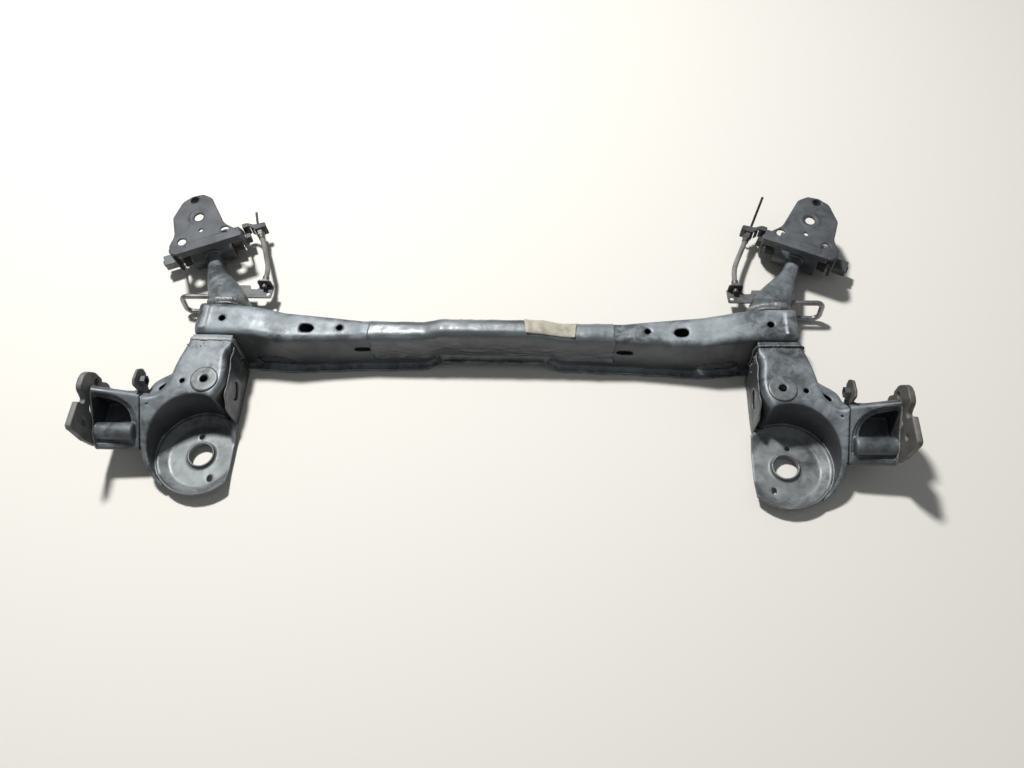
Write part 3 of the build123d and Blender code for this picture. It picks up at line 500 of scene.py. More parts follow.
@dataclass
class Finishes:
    """Every finish of the axle, made once."""

    made: dict[str, bpy.types.Material] = field(default_factory=dict)

    def build(self) -> None:
        """Make all the materials."""
        # dust is a pale blue-grey: the colour of dust and also of the painted sheen on up-facing tops
        black = dict(paint=(0.048, 0.053, 0.059), faded=(0.080, 0.090, 0.100), dust=(0.41, 0.465, 0.50),
                     bare=(0.42, 0.43, 0.43))
        recipes = (
            # High dustiness, as on the beam, the arms and the welds, lightens the tops with dust and painted
            # sheen together
            WornPaint("beam_paint", dustiness=0.85, gloss=0.36, mud=0.18, **black),
            WornPaint("arm_paint", dustiness=0.75, chips=0.6, gloss=0.36, mud=0.25, **black),
            WornPaint("hub_paint", dustiness=0.50, chips=0.6, gloss=0.38, mud=0.45, **black),
            WornPaint("bracket_paint", paint=(0.034, 0.037, 0.044), faded=(0.062, 0.068, 0.078),
                      dust=(0.19, 0.205, 0.22), bare=(0.24, 0.25, 0.26), dustiness=0.55, chips=0.35,
                      gloss=0.50, sheen_metal=0.15, corner=0.0012),
            WornPaint("clip_bracket", paint=(0.085, 0.09, 0.095), faded=(0.17, 0.18, 0.19),
                      dust=(0.34, 0.36, 0.37), bare=(0.4, 0.4, 0.4), dustiness=0.8, chips=0.6, gloss=0.5),
            WornPaint("seat_paint", paint=(0.070, 0.078, 0.085), faded=(0.16, 0.175, 0.185),
                      dust=(0.36, 0.39, 0.40), bare=(0.42, 0.43, 0.43), dustiness=0.75, chips=0.4),
            WornPaint("grey_plate", paint=(0.10, 0.10, 0.105), faded=(0.18, 0.185, 0.19),
                      dust=(0.34, 0.34, 0.335), bare=(0.5, 0.49, 0.47), rust=(0.22, 0.13, 0.08),
                      dustiness=0.5, chips=0.8, gloss=0.5),
            WornPaint("tan_plate", paint=(0.086, 0.082, 0.082), faded=(0.155, 0.148, 0.142),
                      dust=(0.31, 0.295, 0.28), bare=(0.46, 0.44, 0.41), rust=(0.20, 0.13, 0.09),
                      soil=(0.13, 0.105, 0.088), dustiness=0.55, chips=0.7, gloss=0.5),
            WornPaint("weld_paint", paint=(0.09, 0.095, 0.10), faded=(0.22, 0.23, 0.24),
                      dust=(0.46, 0.48, 0.48), bare=(0.58, 0.58, 0.57), rust=(0.28, 0.19, 0.11),
                      dustiness=0.9, chips=0.7, gloss=0.3, corner=0.0004),
            BareSteel("bolt_zinc", (0.15, 0.16, 0.165), (0.08, 0.085, 0.09), (0.16, 0.11, 0.07), 0.2, 0.48),
            BareSteel("loop_zinc", (0.38, 0.39, 0.40), (0.2, 0.2, 0.2), (0.24, 0.16, 0.10), 0.3, 0.4),
            BareSteel("sleeve_steel", (0.35, 0.34, 0.32), (0.16, 0.14, 0.12), (0.22, 0.12, 0.06), 0.5, 0.4),
            BareSteel("fitting_steel", (0.22, 0.215, 0.20), (0.12, 0.115, 0.105), (0.18, 0.13, 0.09), 0.25,
                      0.5),
            BareSteel("pipe_coat", (0.10, 0.105, 0.10), (0.05, 0.05, 0.05), (0.16, 0.10, 0.06), 0.3, 0.5),
            AgedRubber("bush_rubber", (0.02, 0.02, 0.021), (0.07, 0.065, 0.06), 0.5),
            AgedRubber("hose_rubber", (0.12, 0.12, 0.115), (0.30, 0.295, 0.28), 0.85),
            WrapFilm("wrap_film", (0.055, 0.060, 0.066), (0.10, 0.11, 0.12)),
            PaperLabel("label_paper", (0.50, 0.48, 0.40), (0.30, 0.27, 0.19)),
        )
        for recipe in recipes:
            self.made[recipe.name] = recipe.build()

    def __getitem__(self, name: str) -> bpy.types.Material:
        """A finish by name."""
        return self.made[name]

    def paint_node(self, node: bpy.types.Object, name: str) -> None:
        """Give a CAD node one finish in every slot.

        Args:
            node: the CAD object.
            name: the finish's name.
        """
        if not node.material_slots:
            node.data.materials.append(self.made[name])
        for place in node.material_slots:
            place.material = self.made[name]


# Geometry helpers


class Tracer:
    """Finds points on the surfaces of some CAD nodes."""

    def __init__(self, nodes: Iterable[bpy.types.Object]) -> None:
        """Gather the nodes' triangles.

        Args:
            nodes: the CAD objects to trace.
        """
        corners: list[Vector] = []
        faces: list[tuple[int, ...]] = []
        for node in nodes:
            first = len(corners)
            corners += [v.co.copy() for v in node.data.vertices]
            faces += [tuple(first + i for i in p.vertices) for p in node.data.polygons]
        self.tree = BVHTree.FromPolygons(corners, faces)

    def hit(self, start: Vector, way: Vector, reach: float) -> Optional[tuple[Vector, Vector]]:
        """The first point on the surface along a line, and its normal, or None."""
        place, normal, _, _ = self.tree.ray_cast(start, way.normalized(), reach)
        return None if place is None else (place, normal)

    def loop(self, centre: Vector, first: Vector, second: Vector, degrees: Iterable[float],
             reach: float) -> list[Vector]:
        """The outline met by lines that run in from outside towards a centre.

        Args:
            centre: the middle of the outline.
            first: the direction at 0 degrees.
            second: the direction at 90 degrees.
            degrees: the angles to look from.
            reach: how far out the lines start, in metres.

        Returns:
            The points that were met.
        """
        points = []
        for angle in degrees:
            turn = math.radians(angle)
            out = first * math.cos(turn) + second * math.sin(turn)
            found = self.hit(centre + out * reach, -out, reach)
            if found:
                points.append(found[0])
        return points


def linked(name: str, data: bpy.types.ID) -> bpy.types.Object:
    """Make an object and link it to the scene.

    Args:
        name: the object's name.
        data: the mesh, curve, lamp or camera that it holds.

    Returns:
        The linked object.
    """
    made = bpy.data.objects.new(name, data)
    bpy.context.scene.collection.objects.link(made)
    return made


def baked(source: bpy.types.Object) -> bpy.types.Mesh:
    """Turn an object, with its modifiers, into a plain mesh, and remove the object.

    Args:
        source: a linked mesh or curve object.

    Returns:
        The mesh.
    """
    bpy.context.view_layer.update()
    mesh = bpy.data.meshes.new_from_object(source.evaluated_get(bpy.context.evaluated_depsgraph_get()))
    source.modifiers.clear()
    bpy.data.objects.remove(source)
    return mesh


def mesh_object(name: str, corners: Sequence[Sequence[float]], faces: Sequence[Sequence[int]],
                material: bpy.types.Material, smooth: bool = True) -> bpy.types.Object:
    """Make an object from corners and faces, with one finish.

    Args:
        name: the piece's name.
        corners: the corner positions in metres.
        faces: the corners of each face.
        material: the finish.
        smooth: whether its faces are shaded smooth.

    Returns:
        The linked object.
    """
    mesh = bpy.data.meshes.new(name)
    mesh.from_pydata([tuple(c) for c in corners], [], [tuple(f) for f in faces])
    mesh.materials.append(material)
    for face in mesh.polygons:
        face.use_smooth = smooth
    mesh.update()
    return linked(name, mesh)


def tidy_shell(piece: bpy.types.Object) -> None:
    """Merge doubled corners and turn every face outwards.

    Args:
        piece: the object whose mesh is mended.
    """
    work = bmesh.new()
    work.from_mesh(piece.data)
    bmesh.ops.remove_doubles(work, verts=work.verts, dist=1e-6)
    bmesh.ops.recalc_face_normals(work, faces=work.faces)
    work.to_mesh(piece.data)
    work.free()


def grid_faces(lines: int, row: int) -> list[tuple[int, ...]]:
    """The faces between the corners of a grid.

    Args:
        lines: how many rows of corners there are.
        row: how many corners stand in each.

    Returns:
        The four corner numbers of each face.
    """
    firsts = (a for k in range(lines - 1) for a in range(k * row, (k + 1) * row - 1))
    return [(a, a + row, a + row + 1, a + 1) for a in firsts]


def walled(piece: bpy.types.Object, thickness: float, offset: float) -> None:
    """Give a sheet its wall.

    Args:
        piece: the sheet.
        thickness: the wall in millimetres.
        offset: 1 where it grows outwards, -1 where it grows inwards.
    """
    wall = piece.modifiers.new("wall", "SOLIDIFY")
    wall.thickness = thickness * MM
    wall.offset = offset


@dataclass(frozen=True)
class SoftPressing:
    """Rolls a pressing's edges over and gives its sheet the slight waves of the press.

    Attributes:
        node: the CAD node that it is made from.
        body: the body it rides on.
        slot: the record's material slot; not used.
        voxel: the grid it is made over with, in millimetres.
        rounds: how often its edges are eased.
        waves: the height of the waves, in millimetres.
        long_wave: the length of the longer waves, in millimetres.
        short_wave: the length of the shorter ones.
        shift: how far each point is moved besides, both in metres.
    """

    node: bpy.types.Object
    body: str
    slot: str
    voxel: float = 2.0
    rounds: int = 6
    waves: float = 0.30
    long_wave: float = 34.0
    short_wave: float = 11.0
    shift: Optional[Callable[[Vector], Vector]] = None

    def build(self, finish: bpy.types.Material) -> bpy.types.Object:
        """Make the piece that is shown in the node's place.

        Args:
            finish: its finish.

        Returns:
            The softened piece.
        """
        # Only corners and faces are taken over: the remesh is slow where it also carries shading data
        work = bmesh.new()
        work.from_mesh(self.node.data)
        bmesh.ops.remove_doubles(work, verts=work.verts, dist=2e-6)
        mesh = bpy.data.meshes.new("rough")
        faces = [[v.index for v in f.verts] for f in work.faces]
        mesh.from_pydata([v.co.copy() for v in work.verts], [], faces)
        work.free()
        rough = linked("rough", mesh)
        grid = rough.modifiers.new("grid", "REMESH")
        grid.mode = "VOXEL"
        grid.voxel_size = self.voxel * MM
        ease = rough.modifiers.new("ease", "SMOOTH")
        ease.factor = 0.5
        ease.iterations = self.rounds
        made = baked(rough)
        made.materials.clear()
        made.materials.append(finish)
        moved: list[float] = []
        # The directions are read before any corner moves: each move would have them all worked out again
        for place, facing in [(v.co.copy(), v.normal.copy()) for v in made.vertices]:
            at = place / MM
            wave = noise.noise(at / self.long_wave) + 0.4 * noise.noise(at / self.short_wave)
            place += facing * wave * self.waves * MM
            if self.shift:
                place += self.shift(place)
            moved.extend(place)
        made.vertices.foreach_set("co", moved)
        for face in made.polygons:
            face.use_smooth = True
            face.material_index = 0
        made.update()
        piece = linked(self.node.name + "_pressed", made)
        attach(piece, self.body)
        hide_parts(self.node.name)
        LOG.info("%s: %d faces", piece.name, len(made.polygons))
        return piece


def path_curve(name: str, points: Sequence[Vector], closed: bool = False, steps: int = 6) -> bpy.types.Object:
    """A smooth unbevelled curve through the neighbourhood of some points.

    Args:
        name: the curve's name.
        points: its control points, in metres.
        closed: whether it runs back into its start.
        steps: how finely each stretch is divided.

    Returns:
        The linked object.
    """
    curve = bpy.data.curves.new(name, "CURVE")
    curve.dimensions = "3D"
    curve.resolution_u = steps
    spline = curve.splines.new("NURBS")
    spline.points.add(len(points) - 1)
    for place, point in zip(spline.points, points):
        place.co = (*point, 1.0)
    spline.order_u = 3
    spline.use_cyclic_u = closed
    spline.use_endpoint_u = not closed
    return linked(name, curve)


class NodeTree:
    """Adds and joins the nodes of one geometry tree."""

    def __init__(self, name: str, inputs: Sequence[tuple[str, float]] = ()) -> None:
        """Start a tree that takes a geometry and some numbers.

        Args:
            name: the tree's name.
            inputs: the name and the usual value of each number.
        """
        self.tree = bpy.data.node_groups.new(name, "GeometryNodeTree")
        face = self.tree.interface
        face.new_socket("Geometry", in_out="INPUT", socket_type="NodeSocketGeometry")
        self.sockets: dict[str, str] = {}
        for key, value in inputs:
            made = face.new_socket(key, in_out="INPUT", socket_type="NodeSocketFloat")
            made.default_value = value
            self.sockets[key] = made.identifier
        face.new_socket("Geometry", in_out="OUTPUT", socket_type="NodeSocketGeometry")
        self.given = self.tree.nodes.new("NodeGroupInput").outputs

    def put(self, kind: str, inputs: Optional[dict] = None,
            **settings: object) -> bpy.types.bpy_prop_collection:
        """Add a node, fill its inputs and set its properties.

        Args:
            kind: Blender's name for the node type.
            inputs: sockets or plain values, by the input's name or number.
            settings: properties to set on it.

        Returns:
            The node's outputs.
        """
        node = self.tree.nodes.new(kind)
        for key, value in settings.items():
            setattr(node, key, value)
        for key, value in (inputs or {}).items():
            if isinstance(value, bpy.types.NodeSocket):
                self.tree.links.new(value, node.inputs[key])
            else:
                node.inputs[key].default_value = value
        return node.outputs

    def maths(self, operation: str, *values: object) -> Socket:
        """An arithmetic node's result, for some sockets and numbers."""
        return self.put("ShaderNodeMath", dict(enumerate(values)), operation=operation)[0]

    def close(self, geometry: Socket, material: bpy.types.Material) -> None:
        """Shade the geometry smooth, make it real, give it its finish and hand it out.

        Args:
            geometry: what the tree has made.
            material: its finish.
        """
        smooth = self.put("GeometryNodeSetShadeSmooth", {0: geometry})[0]
        real = self.put("GeometryNodeRealizeInstances", {0: smooth})[0]
        coated = self.put("GeometryNodeSetMaterial", {0: real, "Material": material})[0]
        self.put("NodeGroupOutput", {0: coated})


@dataclass
class WeldBead:
    """The node tree that lays overlapping scales of weld along a curve.

    The cells are those of the noises that move, swell and lump the bead, for each metre. swell and least
    are shares of its radius, and sides is how many corners its section has.
    """

    wander_cells: float = 130.0
    swell_cells: float = 70.0
    lump_cells: float = 230.0
    swell: float = 1.1
    least: float = 0.38
    sides: int = 14
    nodes: Optional[NodeTree] = None

    INPUTS = (("Radius", 0.004), ("Step", 0.0010), ("Ripple", 0.22), ("Wander", 0.0008), ("Scale", 2.8),
              ("Width", 1.0), ("Lumps", 0.0))

    def build(self, material: bpy.types.Material) -> None:
        """Make the tree.

        Args:
            material: the bead's finish.
        """
        n = self.nodes = NodeTree("weld_bead", self.INPUTS)
        given = n.given
        here = n.put("GeometryNodeInputPosition")[0]
        line = n.put("GeometryNodeResampleCurve", {"Curve": given["Geometry"], "Length": given["Step"]},
                     mode="LENGTH")["Curve"]
        # The bead wanders a little to either side
        stray = n.put("ShaderNodeTexNoise", {"Vector": here, "Scale": self.wander_cells})["Color"]
        centred = n.put("ShaderNodeVectorMath", {0: stray, 1: (0.5, 0.5, 0.5)}, operation="SUBTRACT")[0]
        moved = n.put("ShaderNodeVectorMath", {0: centred, "Scale": given["Wander"]}, operation="SCALE")[0]
        line = n.put("GeometryNodeSetPosition", {"Geometry": line, "Offset": moved})[0]
        # Its width pulses with each scale and swells at random
        index = n.put("GeometryNodeInputIndex")[0]
        saw = n.maths("FRACT", n.maths("DIVIDE", index, given["Scale"]))
        swell = n.put("ShaderNodeTexNoise", {"Vector": here, "Scale": self.swell_cells})[0]
        wide = n.maths("MULTIPLY_ADD", swell, self.swell, self.least)
        share = n.maths("SUBTRACT", wide, n.maths("MULTIPLY", saw, given["Ripple"]))
        line = n.put("GeometryNodeSetCurveRadius", {"Curve": line, "Radius": share})[0]
        circle = {"Resolution": self.sides, "Radius": given["Radius"]}
        ring = n.put("GeometryNodeCurvePrimitiveCircle", circle)["Curve"]
        across = n.put("ShaderNodeCombineXYZ", {"X": given["Width"], "Y": 1.0, "Z": 1.0})[0]
        oval = n.put("GeometryNodeTransform", {"Geometry": ring, "Scale": across})[0]
        skin = n.put("GeometryNodeCurveToMesh", {"Curve": line, "Profile Curve": oval, "Scale": share,
                                                 "Fill Caps": True})[0]
        # Lumps stand out of the skin where the metal ran
        grain = n.put("ShaderNodeTexNoise", {"Vector": here, "Scale": self.lump_cells, "Detail": 3.0})[0]
        tall = n.maths("MULTIPLY", n.maths("MULTIPLY_ADD", grain, 2.0, -1.0), given["Lumps"])
        facing = n.put("GeometryNodeInputNormal")[0]
        push = n.put("ShaderNodeVectorMath", {0: facing, "Scale": tall}, operation="SCALE")[0]
        n.close(n.put("GeometryNodeSetPosition", {"Geometry": skin, "Offset": push})[0], material)

    def lay(self, name: str, points: Sequence[Vector], body: str, radius: float, closed: bool = False,
            wander: float = 0.8, slot: str = "axle_paint", width: float = 1.0, lumps: float = 0.0,
            ripple: float = 0.22) -> bpy.types.Object:
        """Lay one bead and bake it to a mesh.

        Args:
            name: the piece's name.
            points: the seam, in metres.
            body: the body it rides on.
            radius: the bead's radius in millimetres.
            closed: whether it runs back into its start.
            wander: how far it strays, in millimetres.
            slot: the record's material slot; not used.
            width: how many times wider than high it is.
            lumps: the height of its lumps, in millimetres.
            ripple: the depth of its scales, as a share of the radius.

        Returns:
            The baked piece.
        """
        line = path_curve(name + "_line", points, closed)
        mod = line.modifiers.new("bead", "NODES")
        mod.node_group = self.nodes.tree
        for key, value in (("Radius", radius * MM), ("Wander", wander * MM), ("Width", width),
                           ("Lumps", lumps * MM), ("Ripple", ripple)):
            mod[self.nodes.sockets[key]] = value
        mesh = baked(line)
        mesh.name = name
        piece = linked(name, mesh)
        tidy_shell(piece)
        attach(piece, body)
        LOG.info("weld %s: %d faces", name, len(mesh.polygons))
        return piece


@dataclass
class WeldDrops:
    """The node tree that sets a drop of weld metal on every point it is given.

    dent_cells are the cells for each metre of the noise that dents the drops, dent its depth in metres
    and dent_seed what it starts from, so that every run makes the same drops.
    """

    dent_cells: float = 900.0
    dent: float = 0.00025
    dent_seed: int = 7
    nodes: Optional[NodeTree] = None

    def build(self, material: bpy.types.Material) -> None:
        """Make the tree.

        Args:
            material: the drops' finish.
        """
        n = self.nodes = NodeTree("weld_drops")
        ball = n.put("GeometryNodeMeshIcoSphere", {"Radius": 1.0, "Subdivisions": 3})["Mesh"]
        size = n.put("GeometryNodeInputNamedAttribute", {"Name": "size"}, data_type="FLOAT")["Attribute"]
        drops = {"Points": n.given["Geometry"], "Instance": ball, "Scale": size}
        real = n.put("GeometryNodeRealizeInstances", {0: n.put("GeometryNodeInstanceOnPoints", drops)[0]})[0]
        n.close(real, material)

    def lay(self, name: str, places: Sequence[Vector], sizes: Sequence[float], body: str, slot: str) -> None:
        """Set the drops and bake them to one mesh.

        Args:
            name: the piece's name.
            places: where they stick, in metres.
            sizes: their radii in metres.
            body: the body they ride on.
            slot: the record's material slot; not used.
        """
        mesh = bpy.data.meshes.new("drop_points")
        mesh.from_pydata([tuple(p) for p in places], [], [])
        mesh.attributes.new("size", "FLOAT", "POINT").data.foreach_set("value", sizes)
        cloud = linked("drop_points", mesh)
        cloud.modifiers.new("drops", "NODES").node_group = self.nodes.tree
        made = baked(cloud)
        noise.seed_set(self.dent_seed)
        for corner in made.vertices:
            corner.co += noise.noise_vector(corner.co * self.dent_cells) * self.dent
        piece = linked(name, made)
        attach(piece, body)


# Sub-assemblies


@dataclass(frozen=True)
class Lamp:
    """A square lamp that looks at the axle.

    Attributes:
        name: its name.
        place: where it hangs, in metres.
        size: its side in metres.
        power: its power in watts.
        tint: its colour.
    """

    name: str
    place: Point
    size: float
    power: float
    tint: Colour

    def build(self) -> None:
        """Hang the lamp."""
        data = bpy.data.lights.new(self.name, "AREA")
        data.shape = "SQUARE"
        data.size = self.size
        data.energy = self.power
        data.color = self.tint
        lamp = linked(self.name, data)
        lamp.location = self.place
        lamp.rotation_mode = "QUATERNION"
        lamp.rotation_quaternion = (-Vector(self.place)).to_track_quat("-Z", "Y")


@dataclass
class Studio:
    """The camera, the lamps, the sky and the floor."""

    camera_at: Point = (120.55, -808.87, 1378.8)
    right: Point = (0.99841, 0.039857, -0.039856)
    up: Point = (-0.016164, 0.87985, 0.474977)
    back: Point = (0.053998, -0.473577, 0.879095)
    lens: float = 29.22
    lamps: tuple[Lamp, ...] = (
        Lamp("key", (-0.95, 1.35, 3.3), 0.36, 146.0, (1.0, 0.985, 0.96)),
        Lamp("fill", (1.9, -0.4, 2.3), 1.8, 2.5, (0.93, 0.96, 1.0)),
        Lamp("front", (-0.4, -2.6, 1.9), 2.2, 2.2, (1.0, 0.98, 0.95)),
    )
    sky_tint: Colour = (0.95, 0.97, 1.0)
    sky_light: float = 0.13
    floor_tint: Colour = (0.86, 0.85, 0.80)
    floor_half: float = 9.0
    floor_z: float = -0.0002

    def build(self) -> None:
        """Make everything that isn't part of the axle."""
        data = bpy.data.cameras.new("camera")
        data.lens = self.lens
        data.sensor_width = 36.0
        data.clip_end = 60.0
        camera = linked("camera", data)
        columns = Matrix((self.right, self.up, self.back)).transposed()
        camera.matrix_world = Matrix.Translation(Vector(self.camera_at) * MM) @ columns.to_4x4()
        bpy.context.scene.camera = camera
        bpy.context.scene.view_settings.view_transform = "Standard"
        for lamp in self.lamps:
            lamp.build()
        self.sky()
        self.floor()

    def sky(self) -> None:
        """A pale world, white where it is seen directly and dim where it only lights the axle."""
        world = bpy.data.worlds.new("sky")
        world.use_nodes = True
        bpy.context.scene.world = world
        tree = world.node_tree
        shade = tree.nodes["Background"]
        shade.inputs["Color"].default_value = (*self.sky_tint, 1.0)
        rays = tree.nodes.new("ShaderNodeLightPath")
        most = tree.nodes.new("ShaderNodeMath")
        most.operation = "MAXIMUM"
        tree.links.new(rays.outputs["Is Camera Ray"], most.inputs[0])
        tree.links.new(rays.outputs["Is Transmission Ray"], most.inputs[1])
        level = tree.nodes.new("ShaderNodeMapRange")
        tree.links.new(most.outputs[0], level.inputs["Value"])
        level.inputs["To Min"].default_value = self.sky_light
        level.inputs["To Max"].default_value = 1.0
        tree.links.new(level.outputs["Result"], shade.inputs["Strength"])

    def floor(self) -> None:
        """A plain pale floor that keeps the axle's shadow."""
        g = Graph("floor")
        g.dress(Base_Color=self.floor_tint, Roughness=0.75)
        h, z = self.floor_half, self.floor_z
        corners = [(-h, -h, z), (h, -h, z), (h, h, z), (-h, h, z)]
        plane = mesh_object("floor", corners, [(0, 1, 2, 3)], g.material, smooth=False)


@dataclass
class CrossBeamDress:
    """The beam's softened pressing, its film wrap, its blank label and the roll along its foot.

    Lengths are millimetres, but for film_reach, which is how far out the beam is looked for, in metres.
    film_low and film_sweep are degrees round the film's axis, film_ends is in columns of corners, and
    tracer is the softened beam's surface.
    """

    nodes: dict[str, bpy.types.Object]
    finishes: Finishes
    film_from: float = -228.0
    film_to: float = 226.0
    film_step: float = 3.0
    film_low: float = -38.0
    film_sweep: float = 256.0
    film_rows: int = 60
    film_axis: float = 42.0
    film_reach: float = 0.12
    film_lift: float = 0.5
    film_ragged: float = 7.0
    film_tear: float = 6.0
    film_ends: float = 6.0
    label: tuple[Point, ...] = (
        (58.5, 16.5, 0.0), (155.0, 11.5, 0.0), (152.0, -18.0, 0.0), (63.0, -13.5, 0.0))
    label_grid: tuple[int, int] = (40, 14)
    label_lift: float = 2.2
    label_curl: float = 3.0
    label_crease: float = 0.8
    lip_reach: float = 455.0
    lip_steps: int = 40
    lip_lift: float = 1.6
    tracer: Optional[Tracer] = None

    def build(self) -> None:
        """Dress the beam."""
        pressed = SoftPressing(self.nodes["cross_beam"], "axle", "axle_paint", 3.0, 5, waves=0.45)
        self.tracer = Tracer([pressed.build(self.finishes["beam_paint"])])
        self.film()
        self.paper()
        self.lip()

    def lip(self) -> None:
        """The rolled edge along the foot of the near wall."""
        roll = WeldBead()
        roll.build(self.finishes["beam_paint"])
        points = []
        for k in range(2 * self.lip_steps + 1):
            x = self.lip_reach * (k / self.lip_steps - 1)
            for z in range(3, 60):
                found = self.tracer.hit(Vector((x, -200, z)) * MM, Vector((0, 1, 0)), 0.3)
                if found:
                    points.append(found[0] + Vector((0, 0, self.lip_lift)) * MM)
                    break
        roll.lay("flange_roll", points, "axle", 2.2, wander=1.0, lumps=0.25, ripple=0.0)

    def off_beam(self, x: float, angle: float) -> float:
        """How far the wrinkled film stands off the beam.

        Args:
            x: the place along the beam.
            angle: the angle about the film's axis, in degrees.

        Returns:
            The distance in millimetres, less on the beam's flat top.
        """
        ruck = abs(noise.noise(Vector((x * 0.05, angle * 0.06, 0.4)))) * 1.6
        ruck += abs(noise.noise(Vector((x * 0.16, angle * 0.03, 2.4)))) * 0.7
        return self.film_lift + ruck * (0.35 if abs(angle - 90) < 20 else 1.0)

    def film(self) -> None:
        """The wrinkled film over the beam's top and both walls."""
        columns = int((self.film_to - self.film_from) / self.film_step) + 1
        angles = [self.film_low + i * self.film_sweep / self.film_rows for i in range(self.film_rows + 1)]
        reach = self.film_reach
        corners: list[Vector] = []
        for c in range(columns):
            x = self.film_from + c * self.film_step
            ragged = self.film_ragged * noise.noise(Vector((c * 0.02, 3.1, 0.0)))
            edge = 0.0 if 0 < c < columns - 1 else ragged
            torn = max(0.0, 1.0 - min(c, columns - 1 - c) / self.film_ends)
            centre = Vector((x, 0.0, self.film_axis)) * MM
            for k, angle in enumerate(angles):
                turn = math.radians(angle)
                out = Vector((0.0, math.cos(turn), math.sin(turn)))
                found = self.tracer.hit(centre + out * reach, -out, reach)
                place, normal = found if found else (centre + out * 0.03, out)
                tear = self.film_tear * noise.noise(Vector((k * 0.21, 7.7 if c < columns / 2 else 1.3, 0.0)))
                slide = Vector((tear * torn + edge * 0.2, 0.0, 0.0)) * MM
                corners.append(place + normal * self.off_beam(x, angle) * MM + slide)
        faces = grid_faces(columns, len(angles))
        piece = mesh_object("beam_film", corners, faces, self.finishes["wrap_film"])
        walled(piece, 0.25, 1.0)
        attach(piece, "axle")
        LOG.info("film: %d faces", len(faces))

    def paper(self) -> None:
        """The blank label on the beam's top face, lifting a little at its corners."""
        across, down = self.label_grid
        far_in, far_out, near_out, near_in = (Vector(p) for p in self.label)
        corners: list[Vector] = []
        for j in range(down + 1):
            v = j / down
            for i in range(across + 1):
                u = i / across
                flat = far_in.lerp(far_out, u).lerp(near_in.lerp(near_out, u), v)
                found = self.tracer.hit(Vector((flat.x, flat.y, 140.0)) * MM, Vector((0, 0, -1)), 0.2)
                z = found[0].z / MM if found else 98.0
                curl = self.label_curl * (abs(2 * u - 1) ** 8) * (abs(2 * v - 1) ** 2)
                crease = self.label_crease * noise.noise(Vector((u * 9.0, v * 4.0, 5.0)))
                corners.append(Vector((flat.x, flat.y, z + self.label_lift + curl + crease)) * MM)
        faces = grid_faces(down + 1, across + 1)
        piece = mesh_object("blank_label", corners, faces, self.finishes["label_paper"])
        walled(piece, 0.2, -1.0)
        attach(piece, "axle")


@dataclass(frozen=True)
class BushAxis:
    """Where the right-hand bush stands and how far it is turned, in degrees."""

    at: Point = (591.0, 221.0, 31.0)
    skew: float = 22.5

    def ways(self, sign: float = 1.0) -> tuple[Vector, Vector]:
        """The directions that the bush faces.

        Args:
            sign: the sign of X on the side that is meant.

        Returns:
            The direction outwards along the bolt and the one forwards across it.
        """
        turn = math.radians(self.skew)
        out = Vector((sign * math.cos(turn), -math.sin(turn), 0))
        fore = Vector((sign * math.sin(turn), math.cos(turn), 0))
        return out, fore


@dataclass(frozen=True)
class ArmJoint:
    """The bead round the arm where a pressing meets the beam, and the drops beside it.

    Attributes:
        name: the bead's name.
        centre: the middle of the joint's plane.
        look: the angles that it is traced from, in degrees.
        reach: how far out it is looked for, in metres.
        radius: the bead's radius.
        width: how many times wider than high it is.
        lumps: the height of its lumps.
        drops_at: the middle of the drops.
        spread: how far along the arm they lie, in metres.
        count: how many are thrown.
    """

    name: str
    centre: Point
    look: range
    reach: float
    radius: float
    width: float
    lumps: float
    drops_at: Point
    spread: float
    count: int


